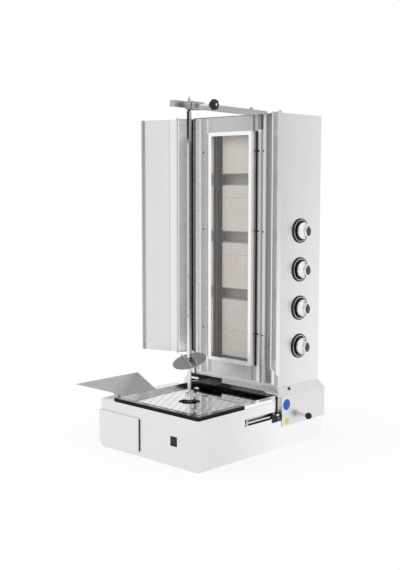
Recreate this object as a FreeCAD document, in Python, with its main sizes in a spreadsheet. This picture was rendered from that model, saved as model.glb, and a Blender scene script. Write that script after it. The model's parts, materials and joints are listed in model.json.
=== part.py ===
import FreeCAD, Part
import math
import os
import re

# Gas doner kebab grill: a sheet steel base with a fat tray and drawer, a burner
# tower on a sliding carriage, two hinged wind shields, a driven skewer and a top arm.
# Millimetres. X runs to the right seen from the front, the front faces -Y, Z is up.
# The origin is the middle of the footprint at floor height.

DOC = FreeCAD.newDocument("DonerGrill")
V = FreeCAD.Vector
UP = V(0, 0, 1)

# Driving sizes: alias, value in mm or degrees, what it is
SIZE_LIST = [
    ("base_width", 500.0, "base box, left to right"),
    ("base_depth", 684.4, "base box, front to back"),
    ("base_top", 176.4, "top of the base box"),
    ("base_corner", 9.0, "radius of the base's upright corners"),
    ("wall", 1.5, "sheet of the base, carriage and tower"),
    ("thin", 1.2, "sheet of trays, wings and reflectors"),
    ("seat_gap", 0.3, "clearance where a piece rests on another"),
    ("run_gap", 0.6, "clearance between the carriage sides and the base"),
    ("fit_gap", 0.05, "radial clearance of pins, rods and studs"),
    ("notch_front", 54.0, "where the upper side wall ends"),
    ("notch_drop", 76.4, "step beside the carriage, below the base top"),
    ("notch_in", 24.0, "depth of that step"),
    ("rod_radius", 4.0, "guide rods"),
    ("rod_inset", 9.0, "guide rods, from the base sides"),
    ("rod_rise", 22.0, "guide rods, over the step"),
    ("rod_front", -104.0, "guide rods, front end"),
    ("rod_rear", 312.0, "guide rods, rear end"),
    ("slot_ahead", 4.0, "rod slot in the side wall, before the rod's end"),
    ("slot_under", 7.0, "rod slot, below the rod"),
    ("slot_over", 18.0, "rod slot, above the rod"),
    ("stop_ahead", 14.5, "rod stop blocks, before the step"),
    ("stop_length", 27.5, "rod stop blocks"),
    ("stop_over", 5.0, "rod stop blocks, above the rod"),
    ("bush_radius", 8.0, "rod bushings"),
    ("tab_back", 135.0, "inner tab of the carriage, behind its front"),
    ("drawer_inset", 3.0, "drawer front, from the base's left side"),
    ("drawer_width", 209.0, "drawer front"),
    ("drawer_low", 16.0, "drawer front, lower edge"),
    ("drawer_drop", 39.4, "drawer front, below the base top"),
    ("drawer_stand", 9.6, "how far the drawer front stands out"),
    ("drawer_lap", 4.0, "drawer front over its opening"),
    ("drawer_length", 320.0, "fat container, front to back"),
    ("drawer_free", 11.0, "fat container, below the top of its front"),
    ("rail_height", 26.0, "top of the drawer rails"),
    ("rocker_inset", 116.4, "rocker switch, from the base's right side"),
    ("rocker_level", 87.5, "rocker switch, height"),
    ("rocker_width", 28.4, "rocker bezel"),
    ("rocker_height", 33.0, "rocker bezel"),
    ("rocker_border", 3.7, "rocker bezel, round its opening"),
    ("gland_inset", 70.0, "cable gland, from the base's right side"),
    ("gland_level", 40.0, "cable gland, height"),
    ("gland_radius", 10.0, "cable gland, its hole"),
    ("tray_ledge", 74.0, "bare ledge left of the fat tray"),
    ("tray_inset", 1.0, "fat tray rim, from the base's right side"),
    ("tray_gap", 0.6, "fat tray rim, from the step of the carriage"),
    ("tray_setback", 1.2, "fat tray rim, from the base front"),
    ("tray_depth", 587.0, "fat tray rim, front to back"),
    ("tray_clear", 4.0, "where the tray rim narrows, before the step"),
    ("rim_rise", 12.6, "fat tray rim, over the base top"),
    ("rim_side", 6.0, "fat tray rim, left and rear flange"),
    ("rim_right", 27.5, "fat tray rim, right flange"),
    ("rim_front", 27.0, "fat tray rim, front flange"),
    ("well_depth", 26.4, "tray well, below the base top"),
    ("plate_drop", 0.9, "perforated plate, below the base top"),
    ("plate_hole", 39.5, "radius of the hole round the drive socket"),
    ("hole_radius", 3.5, "perforations"),
    ("hole_pitch", 30.0, "perforations, spacing in a row"),
    ("hole_row", 24.5, "perforations, from row to row"),
    ("hole_edge", 16.0, "perforations, from the edge of the well"),
    ("collar_radius", 32.0, "collar round the drive shaft"),
    ("collar_height", 22.0, "collar round the drive shaft"),
    ("drain_in", 50.0, "drain over the drawer, from the well's left wall"),
    ("drain_back", 84.0, "drain over the drawer, from the well's front wall"),
    ("drain_radius", 13.0, "drain"),
    ("skewer_x", 20.0, "skewer axis"),
    ("skewer_y", -150.0, "skewer axis"),
    ("hub_radius", 16.0, "drive socket"),
    ("hub_lift", 8.0, "drive socket, over the floor of the well"),
    ("hub_length", 57.0, "drive socket"),
    ("shaft_radius", 7.0, "output shaft of the gear motor"),
    ("gear_drop", 12.0, "gearbox, below the floor of the well"),
    ("gear_height", 42.0, "gearbox"),
    ("gear_half", 42.0, "gearbox, half its width"),
    ("gear_boss", 6.0, "gearbox boss, over the gearbox"),
    ("motor_radius", 27.0, "motor"),
    ("motor_length", 84.0, "motor"),
    ("bar_side", 11.5, "square skewer bar"),
    ("bar_start", 77.0, "square part of the skewer, over the drive socket"),
    ("bar_length", 920.0, "square part of the skewer"),
    ("bar_round", 7.0, "radius of the skewer's round foot"),
    ("bar_hole", 3.0, "radius of the cross holes"),
    ("tip_radius", 5.5, "radius of the skewer's upper end"),
    ("tip_length", 38.0, "round upper end, up to the point"),
    ("tip_point", 15.5, "point of the skewer"),
    ("disc_radius", 63.0, "meat disc"),
    ("disc_rise", 32.5, "meat disc, over the start of the square bar"),
    ("disc_tilt", 14.0, "meat disc, tilt in degrees"),
    ("carriage_front", 95.0, "carriage, front flange"),
    ("carriage_depth", 256.5, "carriage, front to back"),
    ("carriage_skirt", 23.0, "carriage sides, below the step"),
    ("carriage_rise", 36.6, "carriage top plate, over the base top"),
    ("bevel_drop", 28.0, "where the carriage side turns inwards, below its top"),
    ("flange_width", 21.0, "folded flange round the carriage front"),
    ("lobe_reach", 168.0, "inner end of the flange's top band"),
    ("lobe_drop", 22.0, "flange's top band, below the carriage top"),
    ("tower_width", 440.0, "tower, left to right"),
    ("tower_setback", 12.0, "tower, behind the carriage front"),
    ("tower_high", 1211.0, "tower, top"),
    ("tower_return", 16.0, "folded returns of the tower sides"),
    ("frame_half", 107.5, "burner frame, half its width"),
    ("frame_rise", 70.0, "burner frame, over the carriage top"),
    ("frame_drop", 60.5, "burner frame, below the tower top"),
    ("frame_ahead", 23.0, "burner frame, before the tower front"),
    ("frame_depth", 13.0, "burner frame, front to back"),
    ("frame_bar", 14.0, "burner frame, bar width"),
    ("frame_round", 6.0, "burner frame, corners of its window"),
    ("case_depth", 53.0, "burner case, behind the tower front"),
    ("tile_setback", 20.0, "ceramic tiles, behind the tower front"),
    ("tile_thick", 12.0, "ceramic tiles"),
    ("tile_half", 75.0, "ceramic tiles, half their width"),
    ("tile_height", 172.0, "ceramic tiles"),
    ("tile_rise", 63.0, "lowest ceramic tile, over the lower edge of the frame"),
    ("tile_pitch", 217.3, "ceramic tiles, from one to the next"),
    ("mixer_side", -20.0, "mixing tubes behind the tiles, from the middle"),
    ("mixer_radius", 10.5, "mixing tubes"),
    ("vent_width", 8.0, "gap beside the burner case"),
    ("column_half", 96.5, "header and footer panels, half their width"),
    ("strip_share", 0.4545, "share of a front strip's flat before its first ridge"),
    ("strip_ridge", 24.0, "first ridge of a front strip, its flat"),
    ("strip_edge", 20.0, "second ridge of a front strip, from the tower side"),
    ("strip_narrow", 7.0, "second ridge of a front strip, its flat"),
    ("screw_radius", 3.2, "screw heads"),
    ("screw_low", 120.0, "lowest row of screws, over the frame's lower edge"),
    ("screw_middle", 502.0, "middle row of screws, over the frame's lower edge"),
    ("screw_high", 795.0, "upper row of screws, over the frame's lower edge"),
    ("wing_rise", 89.0, "wings and hinge walls, over the carriage top"),
    ("wing_drop", 7.0, "wings and hinge walls, below the tower top"),
    ("hinge_out", 19.0, "wing hinges, from the tower sides"),
    ("hinge_ahead", 60.0, "wing hinges, before the tower front"),
    ("pin_radius", 3.0, "hinge pins"),
    ("wing_fold", 26.0, "first fold of a wing"),
    ("wing_edge", 131.0, "second fold of a wing"),
    ("wing_reach", 147.0, "free edge of a wing"),
    ("wing_lip", 14.0, "lip along the free edge"),
    ("left_angle", 21.6, "left wing, degrees forward of the tower front"),
    ("right_angle", 39.0, "right wing, degrees forward of the tower front"),
    ("knob_back", 124.0, "gas knobs, behind the tower front"),
    ("knob_low", 356.5, "lowest gas knob"),
    ("knob_pitch", 143.5, "gas knobs, from one to the next"),
    ("bezel_radius", 45.5, "knob bezels"),
    ("knob_radius", 29.0, "knob skirt"),
    ("knob_stand", 36.0, "knob, height over the side panel"),
    ("stem_radius", 4.5, "valve stems"),
    ("pipe_inset", 44.0, "gas pipe, from the tower side"),
    ("pipe_radius", 11.0, "gas pipe"),
    ("inlet_drop", 65.5, "gas inlet, below the lowest knob"),
    ("arm_rise", 19.0, "top arm, centre over the tower top"),
    ("arm_tube", 21.0, "top arm, square tube"),
    ("arm_yaw", 9.07, "top arm, degrees off the slide direction"),
    ("arm_x", 60.6, "top arm, front end"),
    ("arm_y", -271.3, "top arm, front end"),
    ("arm_pivot", 505.0, "top arm, front end to pivot"),
    ("arm_tail", 24.0, "top arm, past the pivot"),
    ("slide_start", 94.8, "slider, from the arm's front end"),
    ("slide_length", 70.8, "slider"),
    ("slide_wall", 3.0, "slider sleeve"),
    ("knob_reach", 82.5, "star knob centre, from the arm's axis"),
    ("lever_back", 115.0, "locking plunger, behind the carriage front"),
    ("lever_rise", 3.0, "locking plunger, over the step"),
    ("ball_radius", 12.5, "locking plunger, ball"),
    ("catch_inset", 38.0, "catch plate, from the front of the tray rim"),
    ("catch_length", 166.0, "catch plate, along the tray rim"),
    ("catch_reach", 124.0, "catch plate, out to its rear fold"),
    ("catch_slope", 0.3468, "catch plate, rise over run"),
    ("clip_width", 14.0, "clips under the catch plate"),
]

# Places worked out from those sizes: alias, formula, what it is
PLACE_LIST = [
    ("notch_floor", "base_top - notch_drop", "height of the step beside the carriage"),
    ("rod_side", "base_width / 2 - rod_inset", "guide rods, from the middle"),
    ("rod_level", "notch_floor + rod_rise", "guide rods, height"),
    ("slot_front", "rod_front - slot_ahead", "front end of the rod slot"),
    ("slot_low", "rod_level - slot_under", "lower edge of the rod slot"),
    ("slot_high", "rod_level + slot_over", "upper edge of the rod slot"),
    ("stop_front", "notch_front - stop_ahead", "rod stop blocks, front"),
    ("stop_rear", "stop_front + stop_length", "rod stop blocks, rear"),
    ("stop_top", "rod_level + stop_over", "rod stop blocks, top"),
    ("drawer_left", "drawer_inset - base_width / 2", "drawer front, left edge"),
    ("drawer_right", "drawer_left + drawer_width", "drawer front, right edge"),
    ("drawer_high", "base_top - drawer_drop", "drawer front, upper edge"),
    ("drawer_box_top", "drawer_high - drawer_free", "fat container, rim"),
    ("rocker_side", "base_width / 2 - rocker_inset", "rocker switch, from the middle"),
    ("gland_side", "base_width / 2 - gland_inset", "cable gland, from the middle"),
    ("tray_left", "tray_ledge - base_width / 2", "fat tray rim, left edge"),
    ("tray_right", "base_width / 2 - tray_inset", "fat tray rim, right edge at the front"),
    ("tray_right_rear", "base_width / 2 - notch_in - tray_gap", "beside the carriage"),
    ("tray_front", "tray_setback - base_depth / 2", "fat tray rim, front edge"),
    ("tray_step", "notch_front - tray_clear", "where the tray rim narrows"),
    ("tray_rear", "tray_front + tray_depth", "fat tray rim, rear edge"),
    ("tray_rim", "base_top + rim_rise", "top of the tray rim"),
    ("well_left", "tray_left + rim_side", "tray well, left wall"),
    ("well_right", "tray_right - rim_right", "tray well, right wall"),
    ("well_front", "tray_front + rim_front", "tray well, front wall"),
    ("well_rear", "tray_rear - rim_side", "tray well, rear wall"),
    ("well_floor", "base_top - well_depth", "tray well, floor"),
    ("plate_top", "base_top - plate_drop", "perforated plate"),
    ("drain_x", "well_left + drain_in", "drain over the drawer"),
    ("drain_y", "well_front + drain_back", "drain over the drawer"),
    ("hub_low", "well_floor + hub_lift", "drive socket, lower end"),
    ("hub_high", "hub_low + hub_length", "drive socket, upper end"),
    ("gear_high", "well_floor - gear_drop", "gearbox, top"),
    ("gear_low", "gear_high - gear_height", "gearbox, bottom"),
    ("motor_level", "gear_high - 23", "motor axis"),
    ("bar_low", "hub_high + bar_start", "where the square part of the skewer begins"),
    ("bar_high", "bar_low + bar_length", "where it ends"),
    ("tip_low", "bar_high + tip_length", "where the point begins"),
    ("tip_high", "tip_low + tip_point", "point of the skewer"),
    ("disc_level", "bar_low + disc_rise", "meat disc, height on the bar"),
    ("carriage_rear", "carriage_front + carriage_depth", "carriage, rear edge"),
    ("carriage_low", "notch_floor - carriage_skirt", "carriage, lower edge of the sides"),
    ("carriage_top", "base_top + carriage_rise", "carriage, top plate"),
    ("carriage_bevel", "carriage_top - bevel_drop", "where the side turns inwards"),
    ("lobe_low", "carriage_top - lobe_drop", "lower edge of the flange's top band"),
    ("tower_front", "carriage_front + tower_setback", "tower, front plane"),
    ("frame_low", "carriage_top + frame_rise", "burner frame, lower edge"),
    ("frame_high", "tower_high - frame_drop", "burner frame, upper edge"),
    ("frame_front", "tower_front - frame_ahead", "burner frame, front face"),
    ("frame_back", "frame_front + frame_depth", "burner frame, back edge"),
    ("case_back", "tower_front + case_depth", "burner case, back"),
    ("tile_front", "tower_front + tile_setback", "ceramic tiles, glowing face"),
    ("tile_low", "frame_low + tile_rise", "lowest ceramic tile, lower edge"),
    ("wing_low", "carriage_top + wing_rise", "wings and hinge walls, lower edge"),
    ("wing_high", "tower_high - wing_drop", "wings and hinge walls, upper edge"),
    ("hinge_x", "tower_width / 2 + hinge_out", "wing hinges, from the middle"),
    ("hinge_y", "tower_front - hinge_ahead", "wing hinges, depth"),
    ("knob_y", "tower_front + knob_back", "gas knobs, depth"),
    ("pipe_x", "tower_width / 2 - pipe_inset", "gas pipe, from the middle"),
    ("inlet_level", "knob_low - inlet_drop", "gas inlet, height"),
    ("arm_level", "tower_high + arm_rise", "top arm, centre height"),
    ("lever_y", "carriage_front + lever_back", "locking plunger, depth"),
    ("lever_level", "notch_floor + lever_rise", "locking plunger, height"),
]

SHEET = DOC.addObject("Spreadsheet::Sheet", "Sizes")
FORMULAS = [(alias, "=" + formula, note) for alias, formula, note in PLACE_LIST]
for row, (alias, value, note) in enumerate(SIZE_LIST + FORMULAS, start=1):
    SHEET.set("A%d" % row, alias)
    SHEET.setAlias("B%d" % row, alias)
    SHEET.set("B%d" % row, str(value))
    SHEET.set("C%d" % row, note)
DOC.recompute()
NAMES = {alias for alias, value, note in SIZE_LIST + PLACE_LIST}


class Sizes:
    """The sheet's values as plain numbers."""

    def __getattr__(self, alias):
        return float(SHEET.get(alias))


S = Sizes()


def bound(text):
    """An expression of aliases, written for setExpression."""
    return re.sub(r"[a-z][a-z_]*", lambda word: "Sizes." + word.group(0)
                  if word.group(0) in NAMES else word.group(0), str(text))


def bindBase(piece, place):
    for key, text in zip("xyz", place):
        piece.setExpression("Placement.Base." + key, bound(text))


def box(name, low, high):
    piece = DOC.addObject("Part::Box", name)
    for prop, start, end in zip(("Length", "Width", "Height"), low, high):
        piece.setExpression(prop, bound("(%s) - (%s)" % (end, start)))
    bindBase(piece, low)
    return piece


TURNS = {
    "z": FreeCAD.Rotation(),
    "x": FreeCAD.Rotation(V(0, 1, 0), 90),
    "y": FreeCAD.Rotation(V(1, 0, 0), -90),
}


def rod(name, place, radius, length, axis="z"):
    piece = DOC.addObject("Part::Cylinder", name)
    piece.Placement = FreeCAD.Placement(V(), TURNS[axis])
    piece.setExpression("Radius", bound(radius))
    piece.setExpression("Height", bound(length))
    bindBase(piece, place)
    return piece


def fuse(name, pieces):
    piece = DOC.addObject("Part::MultiFuse", name)
    piece.Shapes = pieces
    return piece


def cut(name, base, tools):
    piece = DOC.addObject("Part::Cut", name)
    piece.Base = base
    piece.Tool = tools[0] if len(tools) == 1 else fuse(name + "Tools", tools)
    return piece


def mirror(name, source):
    piece = DOC.addObject("Part::Mirroring", name)
    piece.Source = source
    piece.Normal = V(1, 0, 0)
    return piece


def both(name, source):
    """A piece and its mirror image on the other side of the machine."""
    return [source, mirror(name + "Left", source)]


def rounded(name, source, radius):
    """The upright edges of a box, rounded."""
    DOC.recompute()
    piece = DOC.addObject("Part::Fillet", name)
    piece.Base = source
    upright = []
    for number, edge in enumerate(source.Shape.Edges, start=1):
        if abs(abs(edge.tangentAt(edge.FirstParameter).z) - 1) < 1e-6:
            upright.append((number, radius, radius))
    piece.Edges = upright
    return piece


def feature(name, shape):
    piece = DOC.addObject("Part::Feature", name)
    piece.Shape = shape
    return piece


def group(name, pieces):
    """Separate solids that share one node."""
    DOC.recompute()
    return feature(name, Part.makeCompound([piece.Shape.copy() for piece in pieces]))


NODES = {}


def node(name, piece):
    piece.Label = name
    NODES[name] = piece
    return piece


# Folded sheet: a line of points thickened to one side, then extruded

def thicken(points, thickness):
    """Closed outline of a bent sheet whose left side is offset by its thickness."""
    path = [V(x, y, 0) for x, y in points]
    normals = []
    for a, b in zip(path, path[1:]):
        along = (b - a).normalize()
        normals.append(V(-along.y, along.x, 0))
    offset = [path[0] + normals[0] * thickness]
    for corner, before, after in zip(path[1:], normals, normals[1:]):
        mitre = before + after
        offset.append(corner + mitre * (thickness / (1 + before.dot(after))))
    offset.append(path[-1] + normals[-1] * thickness)
    return path + offset[::-1]


def bentSheet(points, thickness, low, high):
    outline = thicken(points, thickness)
    wire = Part.makePolygon(outline + outline[:1])
    solid = Part.Face(wire).extrude(V(0, 0, high - low))
    solid.translate(V(0, 0, low))
    return solid


def polygonPrism(points, along, length):
    wire = Part.makePolygon(points + points[:1])
    return Part.Face(wire).extrude(along * length)


# Base box: shell with a step on each side for the carriage, and its bottom plate

def buildBase():
    half_width = "base_width / 2"
    half_depth = "base_depth / 2"
    outer = rounded("BaseOuter", box(
        "BaseOuterBox", ("-" + half_width, "-" + half_depth, "0"),
        (half_width, half_depth, "base_top")), S.base_corner)
    inner = rounded("BaseInner", box(
        "BaseInnerBox",
        ("wall - base_width / 2", "wall - base_depth / 2", "-wall"),
        ("base_width / 2 - wall", "base_depth / 2 - wall", "base_top - wall")),
        S.base_corner - S.wall)
    notch = box("Notch", ("base_width / 2 - notch_in", "notch_front", "notch_floor"),
                ("base_width / 2 + 20", "base_depth / 2 + 20", "base_top + 20"))
    wide = box("NotchWide", ("base_width / 2 - notch_in - wall", "notch_front - wall",
                             "notch_floor - wall"),
               ("base_width / 2 + 20", "base_depth / 2 + 20", "base_top + 20"))
    body = cut("BaseSolid", outer, both("Notch", notch))
    hollow = cut("BaseHollow", inner, both("NotchWide", wide))
    well = box("WellOpening",
               ("well_left - thin - 2", "well_front - thin - 2", "base_top - wall - 1"),
               ("well_right + thin + 1", "well_rear + thin + 2", "base_top + 1"))
    drawer = box("DrawerOpening",
                 ("drawer_left + drawer_lap", "-base_depth / 2 - 1", "drawer_low + drawer_lap"),
                 ("drawer_right + drawer_lap", "-base_depth / 2 + wall + 1",
                  "drawer_high - drawer_lap"))
    switch = box("SwitchOpening",
                 ("rocker_side - rocker_width / 2 + 2", "-base_depth / 2 - 1",
                  "rocker_level - rocker_height / 2 + 2"),
                 ("rocker_side + rocker_width / 2 - 2", "-base_depth / 2 + wall + 1",
                  "rocker_level + rocker_height / 2 - 2"))
    slot = box("RodSlot", ("base_width / 2 - wall - 1", "slot_front", "slot_low"),
               ("base_width / 2 + 1", "notch_front + 1", "slot_high"))
    recess = box("StopRecess", ("base_width / 2 - notch_in", "stop_front", "notch_floor"),
                 ("base_width / 2 + 1", "notch_front + 1", "stop_top"))
    gland = rod("GlandHole", ("gland_side", "base_depth / 2 - wall - 1", "gland_level"),
                "gland_radius", "wall + 2", "y")
    shell = cut("BaseShell", body, [hollow, well, drawer, switch, gland]
                + both("RodSlot", slot) + both("StopRecess", recess))
    node("base_shell", shell)

    bottom = box("BaseBottomBox",
                 ("wall - base_width / 2", "wall - base_depth / 2", "0"),
                 ("base_width / 2 - wall", "base_depth / 2 - wall", "wall"))
    node("base_bottom", rounded("BaseBottom", bottom, S.base_corner - S.wall))


# Fat tray: rim on the base, well with collar and drain, perforated plate inside

def buildTray():
    front = box("RimFront", ("tray_left", "tray_front", "base_top + seat_gap"),
                ("tray_right", "tray_step", "tray_rim"))
    back = box("RimBack", ("tray_left", "tray_step", "base_top + seat_gap"),
               ("tray_right_rear", "tray_rear", "tray_rim"))
    rim = fuse("RimBlock", [rounded("RimRound", front, 5), back])
    low = ("base_top - 5", "tray_rim - thin")
    hollow_front = box("RimHollowFront", ("tray_left + thin", "tray_front + thin", low[0]),
                       ("tray_right - thin", "tray_step - thin", low[1]))
    hollow_back = box("RimHollowBack", ("tray_left + thin", "tray_front + 20", low[0]),
                      ("tray_right_rear - thin", "tray_rear - thin", low[1]))
    skirt = cut("RimSkirt", rim, [hollow_front, hollow_back])
    outer = box("WellOuter", ("well_left - thin", "well_front - thin", "well_floor - thin"),
                ("well_right + thin", "well_rear + thin", "tray_rim - thin / 2"))
    spout = rod("Spout", ("drain_x", "drain_y", "well_floor - 16"), "drain_radius", 16)
    body = fuse("PanBlock", [skirt, outer, spout])
    inner = box("WellInner", ("well_left", "well_front", "well_floor"),
                ("well_right", "well_rear", "tray_rim + 1"))
    bore = rod("SpoutBore", ("drain_x", "drain_y", "well_floor - 20"),
               "drain_radius - thin", 40)
    pan = cut("PanOpen", body, [inner, bore])
    collar = rod("Collar", ("skewer_x", "skewer_y", "well_floor - thin"), "collar_radius",
                 "collar_height")
    passage = rod("Passage", ("skewer_x", "skewer_y", "well_floor - 5"), "collar_radius - 2",
                  "collar_height + 20")
    node("tray_pan", cut("TrayPan", fuse("PanCollar", [pan, collar]), [passage]))

    block = box("PlateBlock",
                ("well_left + 1", "well_front + 1", "well_floor + seat_gap"),
                ("well_right - 1", "well_rear - 1", "plate_top"))
    under = box("PlateUnder",
                ("well_left + 1 + thin", "well_front + 1 + thin", "well_floor - 1"),
                ("well_right - 1 - thin", "well_rear - 1 - thin", "plate_top - thin"))
    hole = rod("PlateHole", ("skewer_x", "skewer_y", "plate_top - 5"), "plate_hole", 10)
    plain = cut("PlatePlain", rounded("PlateRound", block, 3), [under, hole])
    DOC.recompute()
    node("tray_plate", feature("TrayPlate", perforate(plain.Shape)))


def perforate(plate):
    """Staggered round holes over the tray plate, clear of its edge and its big hole."""
    tools = []
    edge = S.hole_edge
    rows = int((S.well_rear - S.well_front - 2 * edge) / S.hole_row)
    columns = int((S.well_right - S.well_left - 2 * edge) / S.hole_pitch)
    spare = S.well_right - S.well_left - 2 * edge - columns * S.hole_pitch
    for row in range(rows + 1):
        shift = S.hole_pitch / 2 * (row % 2)
        for column in range(columns + 1 - row % 2):
            x = S.well_left + edge + spare / 2 + shift + column * S.hole_pitch
            y = S.well_front + edge + row * S.hole_row
            clear = math.hypot(x - S.skewer_x, y - S.skewer_y)
            if clear > S.plate_hole + 3 * S.hole_radius:
                place = V(x, y, S.plate_top - 2 * S.thin)
                tools.append(Part.makeCylinder(S.hole_radius, 3 * S.thin, place))
    return plate.cut(Part.makeCompound(tools))


# Drawer: folded front, fat container and its two rails

def buildDrawer():
    face = "-base_depth / 2 - drawer_stand"
    back = "-base_depth / 2 - seat_gap"
    slab = rounded("DrawerSlab", box("DrawerSlabBox", ("drawer_left", face, "drawer_low"),
                                     ("drawer_right", back, "drawer_high")), 2.0)
    hollow = box("DrawerHollow", ("drawer_left + thin", face + " + thin", "drawer_low + thin"),
                 ("drawer_right - thin", back + " + 5", "drawer_high - thin"))
    lug = box("DrawerLug", ("drawer_left + 12", face + " + thin / 2", "rail_height + 4"),
              ("drawer_right - 12", "-base_depth / 2 + 2 * wall", "drawer_box_top - 12"))
    node("drawer_front", fuse("DrawerFront", [cut("DrawerPan", slab, [hollow]), lug]))
    start = "-base_depth / 2 + 2 * wall"
    end = "drawer_length - base_depth / 2"
    outer = box("BinOuter", ("drawer_left + 24", start, "rail_height + seat_gap"),
                ("drawer_right - 10", end, "drawer_box_top"))
    inner = box("BinInner",
                ("drawer_left + 24 + thin", start + " + thin",
                 "rail_height + seat_gap + thin"),
                ("drawer_right - 10 - thin", end + " - thin", "drawer_box_top + 1"))
    node("drawer_box", cut("DrawerBox", outer, [inner]))
    rails = []
    for side, web in (("drawer_left + 20", 0), ("drawer_right - 6 - 12", 1)):
        top = box("RailTop", (side, "20 - base_depth / 2", "rail_height - wall"),
                  (side + " + 12", end, "rail_height"))
        at = side if web == 0 else side + " + 12 - wall"
        leg = box("RailLeg", (at, "20 - base_depth / 2", "wall"),
                  (at + " + wall", end, "rail_height"))
        rails.append(fuse("Rail", [top, leg]))
    node("drawer_rails", group("DrawerRails", rails))


# Rocker switch: bezel in the base front and the rocker that tips in it

def buildSwitch():
    half_w = "rocker_width / 2"
    half_h = "rocker_height / 2"
    front = "-base_depth / 2"
    plate = box("BezelPlate",
                ("rocker_side - " + half_w, front + " - 2", "rocker_level - " + half_h),
                ("rocker_side + " + half_w, front, "rocker_level + " + half_h))
    can = box("BezelCan",
              ("rocker_side - " + half_w + " + 2.4", front + " - 1",
               "rocker_level - " + half_h + " + 2.4"),
              ("rocker_side + " + half_w + " - 2.4", front + " + 20",
               "rocker_level + " + half_h + " - 2.4"))
    bore = box("BezelBore",
               ("rocker_side - " + half_w + " + rocker_border", front + " - 5",
                "rocker_level - " + half_h + " + rocker_border"),
               ("rocker_side + " + half_w + " - rocker_border", front + " + 15",
                "rocker_level + " + half_h + " - rocker_border"))
    node("rocker_bezel", cut("RockerBezel", fuse("BezelBlock", [plate, can]), [bore]))
    reach = S.rocker_height / 2 - S.rocker_border - 2 * S.seat_gap - S.seat_gap
    y = -S.base_depth / 2
    z = S.rocker_level
    side = S.rocker_border + 2 * S.seat_gap
    x = S.rocker_side - S.rocker_width / 2 + side
    outline = [V(x, y - 4.2, z + reach), V(x, y - 1.6, z), V(x, y - 0.4, z - reach),
               V(x, y + 4, z - reach + 2), V(x, y + 8, z - 3), V(x, y + 8, z + 3),
               V(x, y + 4, z + reach - 2)]
    node("rocker_switch", feature("RockerSwitch", polygonPrism(
        outline, V(1, 0, 0), S.rocker_width - 2 * side)))


# Skewer drive under the tray: gear motor on a folded bracket

def buildDrive():
    x = "skewer_x"
    y = "skewer_y"
    gears = rounded("Gearbox", box("GearboxBox", (x + " - gear_half", y + " - 32", "gear_low"),
                                   (x + " + gear_half", y + " + 32", "gear_high")), 8)
    motor = rod("Motor", (x + " + gear_half - 2", y, "motor_level"), "motor_radius",
                "motor_length", "x")
    fan = rod("MotorFan", (x + " + gear_half - 2 + motor_length", y, "motor_level"),
              "motor_radius - 3", 12, "x")
    boss = rod("GearboxBoss", (x, y, "gear_high - 2"), "hub_radius", "gear_boss + 2")
    node("gear_motor", fuse("GearMotor", [gears, motor, fan, boss]))
    deck = box("BracketDeck", (x + " - gear_half - 10", y + " - 40", "gear_low - 2 * wall"),
               (x + " + 30", y + " + 40", "gear_low"))
    legs = [deck]
    for side in (y + " - 40", y + " + 40 - 2 * wall"):
        legs.append(box("BracketLeg", (x + " - gear_half - 10", side, "wall"),
                        (x + " + 30", side + " + 2 * wall", "gear_low")))
    for low, high in ((y + " - 60", y + " - 38"), (y + " + 38", y + " + 60")):
        legs.append(box("BracketFoot", (x + " - gear_half - 10", low, "wall"),
                        (x + " + 30", high, "3 * wall")))
    node("motor_bracket", fuse("MotorBracket", legs))
    rear = "base_depth / 2"
    body = rod("GlandBody", ("gland_side", rear + " - 12", "gland_level"),
               "gland_radius - 2 * fit_gap", 26, "y")
    nut = rod("GlandNut", ("gland_side", rear, "gland_level"), "gland_radius + 4", 7, "y")
    bore = rod("GlandBore", ("gland_side", rear + " - 15", "gland_level"), 4, 32, "y")
    node("cable_gland", cut("CableGland", fuse("GlandBlock", [body, nut]), [bore]))


# Guide rods with their clamps and rubber stops in the base, bushings on the carriage

def buildGuides():
    length = "rod_rear - rod_front"
    bar = rod("GuideRod", ("rod_side", "rod_front", "rod_level"), "rod_radius", length, "y")
    cap = rod("RodNut", ("rod_side", "rod_front - 4", "rod_level"), "rod_radius + 2.5", 7, "y")
    node("guide_rods", group("GuideRods", both("Rods", fuse("RodAndNut", [bar, cap]))))

    clamps = []
    front = box("FrontClamp", ("rod_side - 12", "rod_front + 4", "rod_level - 12"),
                ("base_width / 2 - wall", "rod_front + 16", "rod_level + 12"))
    rear = box("RearClamp", ("base_width / 2 - notch_in", "rod_rear - 12", "notch_floor"),
               ("base_width / 2 - 1", "rod_rear", "rod_level + 10"))
    for name, block in (("Front", front), ("Rear", rear)):
        bore = rod(name + "ClampBore", ("rod_side", "rod_front - 20", "rod_level"),
                   "rod_radius + fit_gap", "rod_rear - rod_front + 40", "y")
        clamps += both(name + "Clamp", cut(name + "ClampDrilled", block, [bore]))
    node("rod_clamps", group("RodClamps", clamps))

    block = box("StopBlock", ("base_width / 2 - notch_in + seat_gap", "stop_front + seat_gap",
                              "notch_floor"),
                ("base_width / 2 - 0.5", "stop_rear", "stop_top - seat_gap"))
    bore = rod("StopBore", ("rod_side", "stop_front - 5", "rod_level"),
               "rod_radius + fit_gap", "stop_rear - stop_front + 10", "y")
    node("rod_stops", group("RodStops", both("Stop", cut("StopDrilled", block, [bore]))))

    bushes = []
    for place in ("carriage_front", "carriage_front + tab_back"):
        sleeve = rod("Bush", ("rod_side", place + " - 2", "rod_level"), "bush_radius",
                     "wall + 8", "y")
        bore = rod("BushBore", ("rod_side", place + " - 10", "rod_level"),
                   "rod_radius + fit_gap", 40, "y")
        bushes += both("Bush", cut("BushDrilled", sleeve, [bore]))
    node("rod_bushings", group("RodBushings", bushes))


# Carriage: one folded cover that straddles the rear of the base

def carriageOutline(inset, low):
    """Half of the carriage section as (x, z) points, moved in by a sheet thickness."""
    side = S.base_width / 2 + S.run_gap + S.wall - inset
    slope = inset * 0.42
    return [(side, low), (side, S.carriage_bevel - slope),
            (S.tower_width / 2 + 1.5 - slope, S.carriage_top - inset)]


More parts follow.
